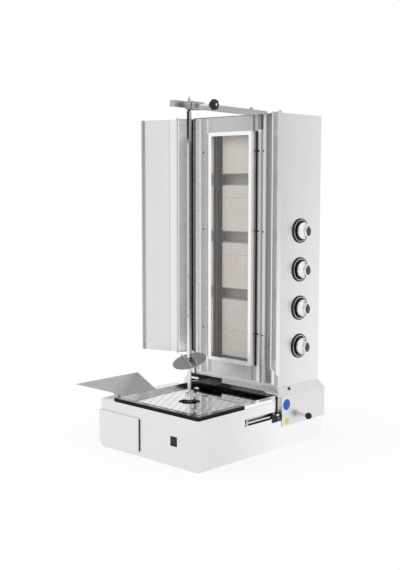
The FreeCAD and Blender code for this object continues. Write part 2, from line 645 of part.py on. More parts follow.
def buildCarriage():
    def fullSection(inset, low, y, depth):
        right = carriageOutline(inset, low)
        left = [(-x, z) for x, z in reversed(right)]
        points = [V(x, y, z) for x, z in right + left]
        return polygonPrism(points, V(0, 1, 0), depth)

    depth = S.carriage_rear - S.carriage_front
    shell = fullSection(0, S.carriage_low, S.carriage_front, depth)
    shell = shell.cut(fullSection(S.wall, S.carriage_low - 5, S.carriage_front - 5, depth + 10))
    side = S.base_width / 2 + S.run_gap
    inner = side + S.wall - S.flange_width
    floor = S.notch_floor + S.run_gap + 0.4
    sheet = S.wall / 2
    lobe = (S.carriage_top - sheet - S.lobe_low) / 2
    middle = S.lobe_low + lobe
    edge = ([(inner - 7, S.lobe_low), (inner, S.lobe_low - 7), (inner, floor)]
            + carriageOutline(sheet, floor))
    parts = [shell]
    for sign in (1, -1):
        y = S.carriage_front
        start = S.lobe_reach + lobe
        arc = Part.Arc(V(sign * start, y, middle + lobe), V(sign * S.lobe_reach, y, middle),
                       V(sign * start, y, S.lobe_low)).toShape()
        corners = [(start, S.lobe_low)] + edge + [(start, middle + lobe)]
        edges = Part.makePolygon([V(sign * x, y, z) for x, z in corners]).Edges
        face = Part.Face(Part.Wire(Part.__sortEdges__([arc] + edges)))
        parts.append(face.extrude(V(0, S.wall, 0)))
    across = edge + [(-x, z) for x, z in reversed(edge)]
    rear = [V(x, S.carriage_rear - S.wall, z) for x, z in across]
    parts.append(polygonPrism(rear, V(0, 1, 0), S.wall))
    for sign in (1, -1):
        low_x = min(sign * inner, sign * (side + sheet))
        tab = Part.makeBox(side + sheet - inner, 2 * S.wall, S.carriage_bevel - 5 - floor)
        tab.translate(V(low_x, S.carriage_front + S.tab_back, floor))
        parts.append(tab)
    cover = parts[0].multiFuse(parts[1:])
    holes = []
    for sign in (1, -1):
        place = V(sign * S.rod_side, S.carriage_front - 10, S.rod_level)
        holes.append(Part.makeCylinder(S.bush_radius + S.fit_gap, depth + 20, place, V(0, 1, 0)))
    place = V(side - 5, S.lever_y, S.lever_level)
    holes.append(Part.makeCylinder(7, 20, place, V(1, 0, 0)))
    cover = cover.cut(Part.makeCompound(holes)).removeSplitter()
    node("carriage_cover", feature("CarriageCover", cover))

    collar = rod("PlungerCollar", ("base_width / 2 + run_gap", "lever_y", "lever_level"),
                 6.9, 9, "x")
    flange = rod("PlungerFlange",
                 ("base_width / 2 + run_gap + wall", "lever_y", "lever_level"), 9, 4, "x")
    bore = rod("PlungerBore", ("base_width / 2 - 10", "lever_y", "lever_level"),
               "4 + fit_gap", 40, "x")
    node("plunger_collar", cut("Collet", fuse("ColletBlock", [collar, flange]), [bore]))
    shank = rod("PlungerShank",
                ("base_width / 2 + run_gap + seat_gap", "lever_y", "lever_level"), 4, 28, "x")
    pin = rod("PlungerPin", ("base_width / 2 - notch_in + seat_gap", "lever_y", "lever_level"),
              "lever_level - notch_floor - run_gap", "notch_in + 10", "x")
    ball = DOC.addObject("Part::Sphere", "PlungerBall")
    ball.setExpression("Radius", bound("ball_radius"))
    bindBase(ball, ("base_width / 2 + 35", "lever_y", "lever_level"))
    node("lock_plunger", fuse("LockPlunger", [shank, pin, ball]))


# Tower: side, back and top panels, folded front strips, header and footer

def buildTower():
    half = S.tower_width / 2
    low = S.carriage_top
    high = S.tower_high
    front = S.tower_front
    rear = S.carriage_rear
    points = [(half - S.tower_return, front), (half, front), (half, rear - S.wall),
              (half - S.tower_return + 2, rear - S.wall)]
    side = bentSheet(points, S.wall, low, high)
    holes = [Part.makeCylinder(S.stem_radius + 1.5, 20,
                               V(half - 10, S.knob_y, S.knob_low + index * S.knob_pitch),
                               V(1, 0, 0)) for index in range(4)]
    node("tower_side_right", feature("SideRight", side.cut(Part.makeCompound(holes))))
    node("tower_side_left", feature("SideLeft", side.mirror(V(), V(1, 0, 0))))

    back = box("BackSheet", ("-tower_width / 2", "carriage_rear - wall", "carriage_top"),
               ("tower_width / 2", "carriage_rear", "tower_high"))
    slits = []
    for index in range(9):
        level = "tower_high - %d" % (311 - 26 * index)
        for side_x in (-150, 30):
            slits.append(box("Slit", (side_x, "carriage_rear - 5", level),
                             (side_x + 120, "carriage_rear + 5", level + " + 8")))
    inlet = rod("InletHole", ("pipe_x", "carriage_rear - 5", "inlet_level"),
                "pipe_radius - 0.5", 10, "y")
    node("tower_back", cut("TowerBack", back, slits + [inlet]))

    lid = box("Lid", ("wall - tower_width / 2", "tower_front + wall", "tower_high - wall"),
              ("tower_width / 2 - wall", "carriage_rear - 2 * wall", "tower_high"))
    flues = []
    for index in range(7):
        at = -138 + 46 * index
        flues.append(box("Flue", (at - 7, "tower_front + 11", "tower_high - 5"),
                         (at + 7, "tower_front + 89", "tower_high + 5")))
    node("tower_top", cut("TowerTop", lid, flues))

    inner = S.frame_half + S.vent_width
    last = half - S.tower_return - 0.6
    edge = half - S.strip_edge
    flat = edge - S.strip_narrow - 6 - inner - S.strip_ridge - 9
    ridge = inner + flat * S.strip_share
    strip = [(inner + S.thin, S.tile_front), (inner, front + 3), (ridge, front + 2),
             (ridge + 5, front - 6), (ridge + 5 + S.strip_ridge, front - 6),
             (ridge + 9 + S.strip_ridge, front + 1), (edge - S.strip_narrow - 6, front + 3),
             (edge - S.strip_narrow, front - 6), (edge, front - 6), (last, front + 1.2)]
    right = bentSheet(strip, S.thin, low + 12, high - 4)
    node("front_strip_right", feature("StripRight", right))
    node("front_strip_left", feature("StripLeft", right.mirror(V(), V(1, 0, 0))))

    for name, z_low, z_high in (("header_panel", S.frame_high + 0.5, high - 4),
                                ("footer_panel", low + 12, S.frame_low - 0.5)):
        half_c = S.column_half
        slab = Part.makeBox(2 * half_c, 6, z_high - z_low, V(-half_c, front - 3, z_low))
        lap = Part.makeBox(2 * half_c - 2 * S.thin, 10, z_high - z_low - 2 * S.thin,
                           V(-half_c + S.thin, front - 3 + S.thin, z_low + S.thin))
        wing = Part.makeBox(2 * S.frame_half + 2 * S.vent_width - 0.6, S.thin,
                            z_high - z_low,
                            V(-S.frame_half - S.vent_width + 0.3, front + 3, z_low))
        node(name, feature(name.title().replace("_", ""), slab.cut(lap).fuse(wing)))

    screws = []
    for sign in (1, -1):
        for rise in (S.screw_high, S.screw_middle, S.screw_low):
            level = S.frame_low + rise
            for x, y in ((inner + 5, front + 2.4), (ridge + 17, front - 6)):
                place = V(sign * x, y - 1.6, level)
                screws.append(Part.makeCylinder(S.screw_radius, 1.6, place, V(0, 1, 0)))
            place = V(sign * S.frame_half, S.frame_back + 5, level)
            screws.append(Part.makeCylinder(2.6, 1.5, place, V(sign, 0, 0)))
    node("tower_screws", feature("TowerScrews", Part.makeCompound(screws)))


# Radiant burner: framed guard, case, four ceramic tiles on their gas chambers

def buildBurner():
    half = S.frame_half
    low = S.frame_low
    high = S.frame_high
    bar = S.frame_bar
    front = S.frame_front
    back = S.frame_back
    slab = Part.makeBox(2 * half, back - front, high - low, V(-half, front, low))
    upright = [edge for edge in slab.Edges
               if abs(edge.tangentAt(edge.FirstParameter).y) > 0.99]
    slab = slab.makeFillet(4, upright)
    window = Part.makeBox(2 * (half - bar), 30, high - low - 2 * bar,
                          V(-half + bar, front - 5, low + bar))
    window = window.makeFillet(S.frame_round, [
        edge for edge in window.Edges
        if abs(edge.tangentAt(edge.FirstParameter).y) > 0.99])
    channel = Part.makeBox(2 * half - 2 * S.thin, 30, high - low - 2 * S.thin,
                           V(-half + S.thin, front + S.thin, low + S.thin))
    keep = Part.makeBox(2 * (half - bar + S.thin), 40, high - low - 2 * (bar - S.thin),
                        V(-half + bar - S.thin, front - 8, low + bar - S.thin))
    frame = slab.cut(window).cut(channel.cut(keep))
    node("burner_frame", feature("BurnerFrame", frame))

    node("burner_guard", feature("BurnerGuard", guardLattice()))

    outer = Part.makeBox(2 * half, S.case_back - S.tower_front - 5, high + 28 - low,
                         V(-half, S.tower_front + 5, low))
    throat = Part.makeBox(2 * half, S.tower_front + 5 - back, high - low, V(-half, back, low))
    hollow = Part.makeBox(2 * half - 2 * S.thin, S.case_back - S.tower_front - 5 - S.thin,
                          high + 28 - low - 2 * S.thin,
                          V(-half + S.thin, S.tower_front + 5, low + S.thin))
    mouth = Part.makeBox(2 * half - 2 * S.thin, 40, high - low - 2 * S.thin,
                         V(-half + S.thin, back - 5, low + S.thin))
    upper = Part.makeBox(2 * half, S.thin, 28 + S.thin, V(-half, S.tower_front + 5,
                                                          high - S.thin))
    case = outer.fuse(throat).cut(hollow).cut(mouth).fuse(upper)
    pipes = []
    for index in range(4):
        level = S.tile_low + S.tile_height / 2 + index * S.tile_pitch
        pipes.append(Part.makeCylinder(S.mixer_radius + 0.5, 30,
                                       V(S.mixer_side, S.case_back - 10, level), V(0, 1, 0)))
    node("burner_case", feature("BurnerCase", case.cut(Part.makeCompound(pipes))))

    chambers = []
    for index in range(4):
        z = S.tile_low + index * S.tile_pitch
        tile = Part.makeBox(2 * S.tile_half, S.tile_thick, S.tile_height,
                            V(-S.tile_half, S.tile_front, z))
        groove = Part.makeBox(2 * S.tile_half + 2, 1.6, 1.6,
                              V(-S.tile_half - 1, S.tile_front - 1, z + S.tile_height * 0.74))
        node("burner_tile_%d" % (index + 1), feature("BurnerTile", tile.cut(groove)))
        back_face = S.tile_front + S.tile_thick
        room = Part.makeBox(2 * S.tile_half + 12, S.case_back - S.thin - back_face,
                            S.tile_height + 12,
                            V(-S.tile_half - 6, back_face, z - 6))
        mixer = Part.makeCylinder(S.mixer_radius, 50,
                                  V(S.mixer_side, S.case_back - S.thin - 1,
                                    z + S.tile_height / 2), V(0, 1, 0))
        chambers.append(room.fuse(mixer))
    node("burner_chambers", feature("BurnerChambers", Part.makeCompound(chambers)))


def guardLattice():
    """Guard sheet with diamond openings, clamped behind the frame's front."""
    half = S.frame_half - S.frame_bar - S.seat_gap
    low = S.frame_low + S.frame_bar + S.seat_gap
    high = S.frame_high - S.frame_bar - S.seat_gap
    y = S.frame_front + 3
    outline = [V(-half, y, low), V(half, y, low), V(half, y, high), V(-half, y, high)]
    border = 4.0
    bar = 2.4
    columns = 6
    pitch_x = 2 * (half - border) / columns
    rows = round((high - low - 2 * border) / pitch_x)
    pitch_z = (high - low - 2 * border) / rows
    cell_x = pitch_x / 2 - bar / math.sqrt(2)
    cell_z = pitch_z / 2 - bar / math.sqrt(2)
    wires = [Part.makePolygon(outline + outline[:1])]
    for row in range(2 * rows - 1):
        for column in range(columns - row % 2):
            x = -half + border + pitch_x * (column + 0.5 + 0.5 * (row % 2))
            z = low + border + pitch_z * (row + 1) / 2
            cell = [V(x - cell_x, y, z), V(x, y, z - cell_z),
                    V(x + cell_x, y, z), V(x, y, z + cell_z)]
            wires.append(Part.makePolygon(cell + cell[:1]))
    sheet = Part.Face(wires, "Part::FaceMakerCheese").extrude(V(0, S.thin, 0))
    corners = [edge for edge in sheet.Edges
               if abs(edge.tangentAt(edge.FirstParameter).y) > 0.99
               and abs(edge.CenterOfMass.x) > half - 0.01]
    return sheet.makeFillet(S.frame_round, corners)


# Gas train inside the right of the tower: pipe, four valves, feeds and the inlet

def pipeRun(points, radius):
    shape = None
    for a, b in zip(points, points[1:]):
        along = (b - a).normalize()
        run = Part.makeCylinder(radius, (b - a).Length + 2 * radius, a - along * radius, along)
        shape = run if shape is None else shape.fuse(run)
    return shape


def buildGas():
    x = S.pipe_x
    r = S.pipe_radius
    y = S.knob_y
    inlet = S.inlet_level
    rear = S.carriage_rear
    low = inlet - r
    top = S.knob_low + 3 * S.knob_pitch + 40
    riser = Part.makeCylinder(r, top - low, V(x, y, low))
    entry = Part.makeCylinder(r, rear - S.wall - 1 - y, V(x, y, inlet), V(0, 1, 0))
    nut = Part.makeCylinder(r + 2, 12, V(x, rear + 0.5, inlet), V(0, 1, 0))
    thread = Part.makeCylinder(r - 1, 30, V(x, rear - 4, inlet), V(0, 1, 0))
    bore = Part.makeCylinder(r - 5, 60, V(x, rear - 20, inlet), V(0, 1, 0))
    pipe = riser.fuse([entry, nut, thread]).cut(bore)
    node("gas_manifold", feature("GasManifold", pipe))
    valves = []
    feeds = []
    for index in range(4):
        z = S.knob_low + index * S.knob_pitch
        body = Part.makeCylinder(r + 2, S.tower_width / 2 - 6 - (x + 8), V(x + 8, y, z),
                                 V(1, 0, 0))
        saddle = Part.makeCylinder(r + S.fit_gap, 30, V(x, y, z - 15))
        valves.append(body.cut(saddle))
        level = S.tile_low + S.tile_height / 2 + index * S.tile_pitch
        x_up = 120 - 24 * index
        back = y + 40 + 12 * index
        points = [V(x + 2 * r, y + r + 2 + S.seat_gap + 4, z), V(x + 2 * r, back, z),
                  V(x_up, back, z), V(x_up, back, level), V(S.mixer_side, back, level),
                  V(S.mixer_side, S.case_back - S.thin + 49 + S.seat_gap + 4, level)]
        feeds.append(pipeRun(points, 4))
    node("gas_valves", feature("GasValves", Part.makeCompound(valves)))
    node("gas_feeds", feature("GasFeeds", Part.makeCompound(feeds)))


# Gas knobs on the right side panel

def buildKnobs():
    side = S.tower_width / 2
    bezels = []
    for index in range(4):
        z = S.knob_low + index * S.knob_pitch
        at = V(side, S.knob_y, z)
        ring = Part.makeCylinder(S.bezel_radius, 5, at, V(1, 0, 0))
        dish = Part.makeCone(S.knob_radius + 4, S.knob_radius + 10, 4,
                             V(side + 1.6, S.knob_y, z), V(1, 0, 0))
        hole = Part.makeCylinder(S.stem_radius + 1.5, 20, at - V(10, 0, 0), V(1, 0, 0))
        bezels.append(ring.cut(dish).cut(hole))
        node("gas_knob_%d" % (index + 1), feature("GasKnob", knobShape(at)))
    node("knob_bezels", feature("KnobBezels", Part.makeCompound(bezels)))


def knobShape(at):
    """Turned skirt and barrel with a finger grip across the end and a stem behind."""
    reach = S.knob_stand
    r = S.knob_radius
    profile = [(0, -5.7), (S.stem_radius, -5.7), (S.stem_radius, 2.6), (r - 3, 2.6),
               (r, 4.6), (r, 9), (r - 4, 13), (r - 9, 16), (r - 9, 25), (r - 11, 27),
               (0, 27)]
    points = [V(x, radius, 0) for radius, x in profile]
    turned = Part.Face(Part.makePolygon(points + points[:1])).revolve(V(), V(1, 0, 0), 360)
    turned = Part.Solid(turned) if turned.ShapeType == "Shell" else turned
    grip_x = 12.0
    long = 2 * r - 6
    grip = Part.makeBox(reach - grip_x, 13, long, V(grip_x, -6.5, -long / 2))
    ends = [edge for edge in grip.Edges if abs(edge.tangentAt(edge.FirstParameter).x) > 0.99]
    grip = grip.makeFillet(6, ends)
    shape = turned.fuse(grip)
    shape.translate(at)
    return shape


# Wings: fixed hinge walls, brackets and the two swinging shields

def buildWings():
    low = S.wing_low
    high = S.wing_high
    corner = V(S.tower_width / 2 - 1, S.tower_front - 0.3, 0)
    axis = V(S.hinge_x, S.hinge_y, 0)
    along = (axis - corner).normalize()
    end = axis - along * 7
    start = corner + along * 1.0
    wall = bentSheet([(start.x - 8, start.y), (start.x, start.y), (end.x, end.y)],
                     -S.thin, low, high)
    node("hinge_wall_right", feature("HingeWallRight", wall))
    node("hinge_wall_left", feature("HingeWallLeft", wall.mirror(V(), V(1, 0, 0))))

    tabs = []
    for sign in (1, -1):
        for z in (low - 2.8 - S.seat_gap, high + S.seat_gap):
            root = S.tower_width / 2 - S.tower_return
            outline = [V(root, S.tower_front - 0.3, z), V(root, S.tower_front - 7, z),
                       V(S.hinge_x - 7, S.hinge_y - 2, z), V(S.hinge_x - 5, S.hinge_y - 6, z),
                       V(S.hinge_x + 5, S.hinge_y - 6, z), V(S.hinge_x + 7, S.hinge_y + 2, z),
                       V(S.tower_width / 2, S.tower_front - 0.3, z)]
            tab = polygonPrism(outline, V(0, 0, 1), 2.8)
            bore = Part.makeCylinder(S.pin_radius + S.fit_gap, 10, axis + V(0, 0, z - 3))
            tab = tab.cut(bore)
            tabs.append(tab if sign > 0 else tab.mirror(V(), V(1, 0, 0)))
    node("hinge_brackets", feature("HingeBrackets", Part.makeCompound(tabs)))
    node("wing_right", feature("WingRight", wingShape(1, S.right_angle)))
    node("wing_left", feature("WingLeft", wingShape(-1, S.left_angle)))


def wingShape(sign, angle):
    """Folded shield with a rolled hinge edge and pins, turned to its rest angle."""
    points = [(3.0, 0.6), (S.wing_fold, 3.2), (S.wing_edge, 3.2), (S.wing_reach, 0.4),
              (S.wing_reach, S.wing_lip)]
    sheet = bentSheet(points, S.thin, S.wing_low, S.wing_high)
    corners = [edge for edge in sheet.Edges
               if abs(edge.tangentAt(edge.FirstParameter).z) < 0.01
               and edge.Length < 1.6 * S.thin and edge.CenterOfMass.y > S.wing_lip - 0.2]
    if corners:
        sheet = sheet.makeFillet(7, corners)
    roll = Part.makeCylinder(4.2, S.wing_high - S.wing_low, V(0, 0, S.wing_low))
    pin = Part.makeCylinder(S.pin_radius, S.wing_high - S.wing_low + 16,
                            V(0, 0, S.wing_low - 8))
    shape = sheet.fuse([roll, pin])
    shape = shape.mirror(V(), V(0, 1, 0))
    if sign < 0:
        shape = shape.mirror(V(), V(1, 0, 0))
    shape.rotate(V(), UP, -sign * angle)
    shape.translate(V(sign * S.hinge_x, S.hinge_y, 0))
    return shape


# Skewer: drive socket, square bar with its cross holes, meat disc and wing bolt

def buildSkewer():
    axis = V(S.skewer_x, S.skewer_y, 0)
    hub = Part.makeCylinder(S.hub_radius, S.hub_high - S.hub_low, axis + V(0, 0, S.hub_low))
    hub = hub.makeChamfer(2, [hub.Edges[0]])
    foot_level = S.gear_high + S.gear_boss + S.seat_gap
    shaft = Part.makeCylinder(S.shaft_radius, S.hub_low - foot_level + 1,
                              axis + V(0, 0, foot_level))
    bore = Part.makeCylinder(S.bar_round + S.fit_gap, 50, axis + V(0, 0, S.hub_high - 40))
    level = S.hub_high - 12
    tap = Part.makeCylinder(4, 40, axis + V(0, 0, level), V(1, 0, 0))
    node("drive_socket", feature("DriveSocket", hub.fuse(shaft).cut(bore).cut(tap)))

    foot = Part.makeCylinder(S.bar_round, S.bar_low - S.hub_high + 40 + 6,
                             axis + V(0, 0, S.hub_high - 40))
    half = S.bar_side / 2
    bar = Part.makeBox(S.bar_side, S.bar_side, S.bar_high - S.bar_low,
                       axis + V(-half, -half, S.bar_low))
    top = Part.makeCylinder(S.tip_radius, S.tip_low - S.bar_high + 4,
                            axis + V(0, 0, S.bar_high - 4))
    point = Part.makeCone(S.tip_radius, 0.6, S.tip_high - S.tip_low, axis + V(0, 0, S.tip_low))
    holes = [Part.makeCylinder(S.bar_hole, 40, axis + V(0, -20, S.bar_low + rise), V(0, 1, 0))
             for rise in (199.2, 340.4)]
    dimple = Part.makeCylinder(4, 10, axis + V(S.bar_round - 1.5, 0, level), V(1, 0, 0))
    skewer = foot.fuse([bar, top, point]).cut(Part.makeCompound(holes + [dimple]))
    node("skewer_bar", feature("SkewerBar", skewer))

    clear = S.bar_side + 0.6
    plate = Part.makeCylinder(S.disc_radius, 2.5, V(0, 0, -1.25))
    channel = Part.makeBox(24, 2 * S.disc_radius * 0.62, 14, V(-12, -S.disc_radius * 0.62, -7))
    inside = Part.makeBox(19, 2 * S.disc_radius, 20, V(-9.5, -S.disc_radius, -11.4))
    lips = channel.cut(inside)
    above = Part.makeBox(30, 2 * S.disc_radius, 30, V(-15, -S.disc_radius, 0))
    rib = lips.common(above)
    disc = plate.fuse(rib)
    disc.rotate(V(), V(0, 1, 0), -S.disc_tilt)
    disc.rotate(V(), UP, 44)
    hole = Part.makeBox(clear, clear, 80, V(-clear / 2, -clear / 2, -40))
    disc = disc.cut(hole)
    disc.translate(axis + V(0, 0, S.disc_level))
    node("skewer_disc", feature("SkewerDisc", disc))

    start = axis + V(S.bar_round - 1.2, 0, level)
    stud = Part.makeCylinder(4 - S.fit_gap, 24, start, V(1, 0, 0))
    head = Part.makeCylinder(6, 7, start + V(20, 0, 0), V(1, 0, 0))
    wings = [Part.makeBox(3.4, 16, 11, start + V(22, 4, -2)),
             Part.makeBox(3.4, 16, 11, start + V(22, -20, -2))]
    node("wing_bolt", feature("WingBolt", stud.fuse([head] + wings)))


# Top arm: pivot post on the tower, square tube, slider with bush and star knob

def armFrame(shape):
    """From arm coordinates (Y back along the tube from its front end) to the machine's."""
    shape.rotate(V(), UP, S.arm_yaw)
    shape.translate(V(S.arm_x, S.arm_y, S.arm_level))
    return shape


def buildArm():
    half = S.arm_tube / 2
    length = S.arm_pivot + S.arm_tail
    tube = Part.makeBox(S.arm_tube, length, S.arm_tube, V(-half, 0, -half))
    hollow = Part.makeBox(S.arm_tube - 3, length - 3, S.arm_tube - 3,
                          V(-half + 1.5, 1.5, -half + 1.5))
    bore = Part.makeCylinder(5 + S.fit_gap, 60, V(0, S.arm_pivot, -30))
    node("arm_tube", feature("ArmTube", armFrame(tube.cut(hollow).cut(bore))))

    seat = half + S.seat_gap
    rise = S.arm_level - seat - S.tower_high
    post = Part.makeCylinder(20, rise, V(0, S.arm_pivot, -seat - rise))
    pin = Part.makeCylinder(5, 2 * half + 10, V(0, S.arm_pivot, -seat - 1))
    cap = Part.makeCylinder(9, 5, V(0, S.arm_pivot, half + S.seat_gap))
    node("arm_mount", feature("ArmMount", armFrame(post.fuse([pin, cap]))))

    gap = S.seat_gap
    inner = half + gap
    outer = inner + S.slide_wall
    near = S.slide_start
    sleeve = Part.makeBox(2 * outer, S.slide_length, 2 * outer, V(-outer, near, -outer))
    turn = math.radians(S.arm_yaw)
    offset = V(S.skewer_x - S.arm_x, S.skewer_y - S.arm_y, 0)
    side = offset.x * math.cos(turn) + offset.y * math.sin(turn)
    back = -offset.x * math.sin(turn) + offset.y * math.cos(turn)
    bush = Part.makeCylinder(11, 2 * outer, V(side, back, -outer))
    web = Part.makeBox(-outer - side + 1, 22, 2 * outer, V(side, back - 11, -outer))
    window = Part.makeBox(2 * inner, S.slide_length + 10, 2 * inner, V(-inner, near - 5, -inner))
    hole = Part.makeCylinder(S.tip_radius + 1.1, 60, V(side, back, -30))
    middle = near + S.slide_length / 2
    boss = Part.makeCylinder(9, 8, V(outer - 1, middle, 0), V(1, 0, 0))
    tap = Part.makeCylinder(4 + S.fit_gap, 40, V(half - 2, middle, 0), V(1, 0, 0))
    slider = sleeve.fuse([bush, web, boss]).cut(Part.makeCompound([window, hole, tap]))
    node("arm_slider", feature("ArmSlider", armFrame(slider)))

    root = half + S.seat_gap
    stud = Part.makeCylinder(4, S.knob_reach - root, V(root, middle, 0), V(1, 0, 0))
    hub = Part.makeCylinder(14, 18, V(S.knob_reach - 9, middle, 0), V(1, 0, 0))
    lobes = []
    for index in range(7):
        angle = 2 * math.pi * index / 7
        centre = V(S.knob_reach - 9, middle + 13.5 * math.cos(angle), 13.5 * math.sin(angle))
        lobes.append(Part.makeCylinder(5.6, 18, centre, V(1, 0, 0)))
    neck = Part.makeCylinder(8, 8, V(S.knob_reach - 17, middle, 0), V(1, 0, 0))
    node("star_knob", feature("StarKnob", armFrame(stud.fuse([hub, neck] + lobes))))


# Catch plate hooked on the left tray rim, with its rubber clips

def platePrism(points, thickness):
    face = Part.Face(Part.makePolygon(points + points[:1]))
    normal = (points[1] - points[0]).cross(points[2] - points[0]).normalize()
    if normal.z < 0:
        normal = normal * -1
    return face.extrude(normal * thickness)


def buildCatchPlate():
    rim = S.tray_rim + S.seat_gap
    edge = S.tray_left + 3.0
    start = S.tray_front + S.catch_inset
    end = start + S.catch_length

    def onSlope(out, y):
        return V(edge - out, y, rim + out * S.catch_slope)

    fold_back = onSlope(S.catch_reach, start + 136)
    fold_front = onSlope(36, start - 22)
    main = [onSlope(0, start), onSlope(0, end), onSlope(S.catch_reach, end + 23), fold_back,
            fold_front]
    corner = V(edge - S.catch_reach - 46, start - 77, rim + 30.8)
    parts = [platePrism(main, S.thin), platePrism([fold_front, fold_back, corner], S.thin)]
    normal = V(S.catch_slope, 0, 1).normalize()
    joint = Part.makeCylinder(S.thin / 2, (fold_back - fold_front).Length,
                              fold_front + normal * (S.thin / 2), fold_back - fold_front)
    hook = Part.makeBox(4.2, S.catch_length, S.thin, V(edge - 0.6, start, rim))
    plate = parts[0].fuse([parts[1], joint, hook])
    node("catch_plate", feature("CatchPlate", plate))
    ledge = S.base_top
    clips = []
    for y in (start - 15, start + 113):
        outer = onSlope(30, y)
        inner = onSlope(8, y)
        outline = [V(outer.x, y, ledge), V(inner.x, y, ledge),
                   V(inner.x, y, inner.z - S.seat_gap), V(outer.x, y, outer.z - S.seat_gap)]
        clips.append(polygonPrism(outline, V(0, 1, 0), S.clip_width))
    node("catch_clips", feature("CatchClips", Part.makeCompound(clips)))


buildBase()
buildTray()
buildDrawer()
buildSwitch()
buildDrive()
buildGuides()
buildCarriage()
buildTower()
buildBurner()
buildGas()
buildKnobs()
buildWings()
buildSkewer()
buildArm()
buildCatchPlate()
DOC.recompute()

for piece in DOC.Objects:
    if "Invalid" in piece.State or "Error" in piece.State:
        raise RuntimeError("failed object: " + piece.Name)
for name, piece in NODES.items():
    shape = piece.Shape
    if shape.isNull() or not shape.isValid() or not shape.Solids:
        raise RuntimeError("bad shape: " + name)

os.makedirs("parts", exist_ok=True)
for name, piece in sorted(NODES.items()):
    piece.Shape.exportStep("parts/%s.step" % name)
    extent = piece.Shape.BoundBox
    print("%-18s %2d solids  x %7.1f %7.1f  y %7.1f %7.1f  z %7.1f %7.1f" % (
        name, len(piece.Shape.Solids), extent.XMin, extent.XMax, extent.YMin, extent.YMax,
        extent.ZMin, extent.ZMax))
print("nodes", len(NODES))
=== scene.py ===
# Gas doner kebab grill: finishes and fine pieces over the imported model
import json
import math

import bmesh
import bpy
from mathutils import Matrix, Vector


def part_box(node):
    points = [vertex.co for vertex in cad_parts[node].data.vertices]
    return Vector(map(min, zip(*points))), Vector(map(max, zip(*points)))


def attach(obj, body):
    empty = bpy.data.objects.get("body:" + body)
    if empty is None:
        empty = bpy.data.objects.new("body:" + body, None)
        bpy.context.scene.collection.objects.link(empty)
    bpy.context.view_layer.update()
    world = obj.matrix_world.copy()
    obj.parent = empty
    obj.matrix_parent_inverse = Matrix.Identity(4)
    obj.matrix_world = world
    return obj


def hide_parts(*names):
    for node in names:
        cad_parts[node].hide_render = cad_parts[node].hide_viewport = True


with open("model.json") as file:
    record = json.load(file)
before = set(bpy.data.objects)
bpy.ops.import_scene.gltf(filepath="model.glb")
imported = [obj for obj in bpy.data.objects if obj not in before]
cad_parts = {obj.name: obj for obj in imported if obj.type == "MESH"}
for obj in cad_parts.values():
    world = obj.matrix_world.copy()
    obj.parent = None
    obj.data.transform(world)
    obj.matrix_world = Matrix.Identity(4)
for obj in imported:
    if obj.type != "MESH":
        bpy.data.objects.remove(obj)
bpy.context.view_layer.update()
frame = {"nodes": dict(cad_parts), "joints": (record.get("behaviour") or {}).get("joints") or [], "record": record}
nodes = frame["nodes"]
mm = 0.001
print("frame loaded:", len(nodes), "nodes")


# A field wraps a node's socket, so that masks and lengths are written as plain arithmetic
class Field:
    def __init__(self, board, socket):
        self.board = board
        self.socket = socket

    def maths(self, operation, *values):
        return self.board.add("ShaderNodeMath", {"operation": operation},
                              dict(enumerate(values)))

    def __add__(self, other):
        return self.maths("ADD", self, other)

    def __radd__(self, other):
        return self.maths("ADD", other, self)

    def __sub__(self, other):
        return self.maths("SUBTRACT", self, other)

    def __rsub__(self, other):
        return self.maths("SUBTRACT", other, self)

    def __mul__(self, other):
        return self.maths("MULTIPLY", self, other)

    def __truediv__(self, other):
        return self.maths("DIVIDE", self, other)

    def __pow__(self, other):
        return self.maths("POWER", self, other)

    def __gt__(self, other):
        return self.maths("GREATER_THAN", self, other)

    def __lt__(self, other):
        return self.maths("LESS_THAN", self, other)

    def __abs__(self):
        return self.maths("ABSOLUTE", self)

    def clamped(self):
        return self.board.add("ShaderNodeClamp", {}, {0: self})

    def least(self, other):
        return self.maths("MINIMUM", self, other)

    def most(self, other):
        return self.maths("MAXIMUM", self, other)

    def wave(self):
        return self.maths("SINE", self)

    def whole(self):
        return self.maths("FLOOR", self)

    def fraction(self):
        return self.maths("FRACT", self)


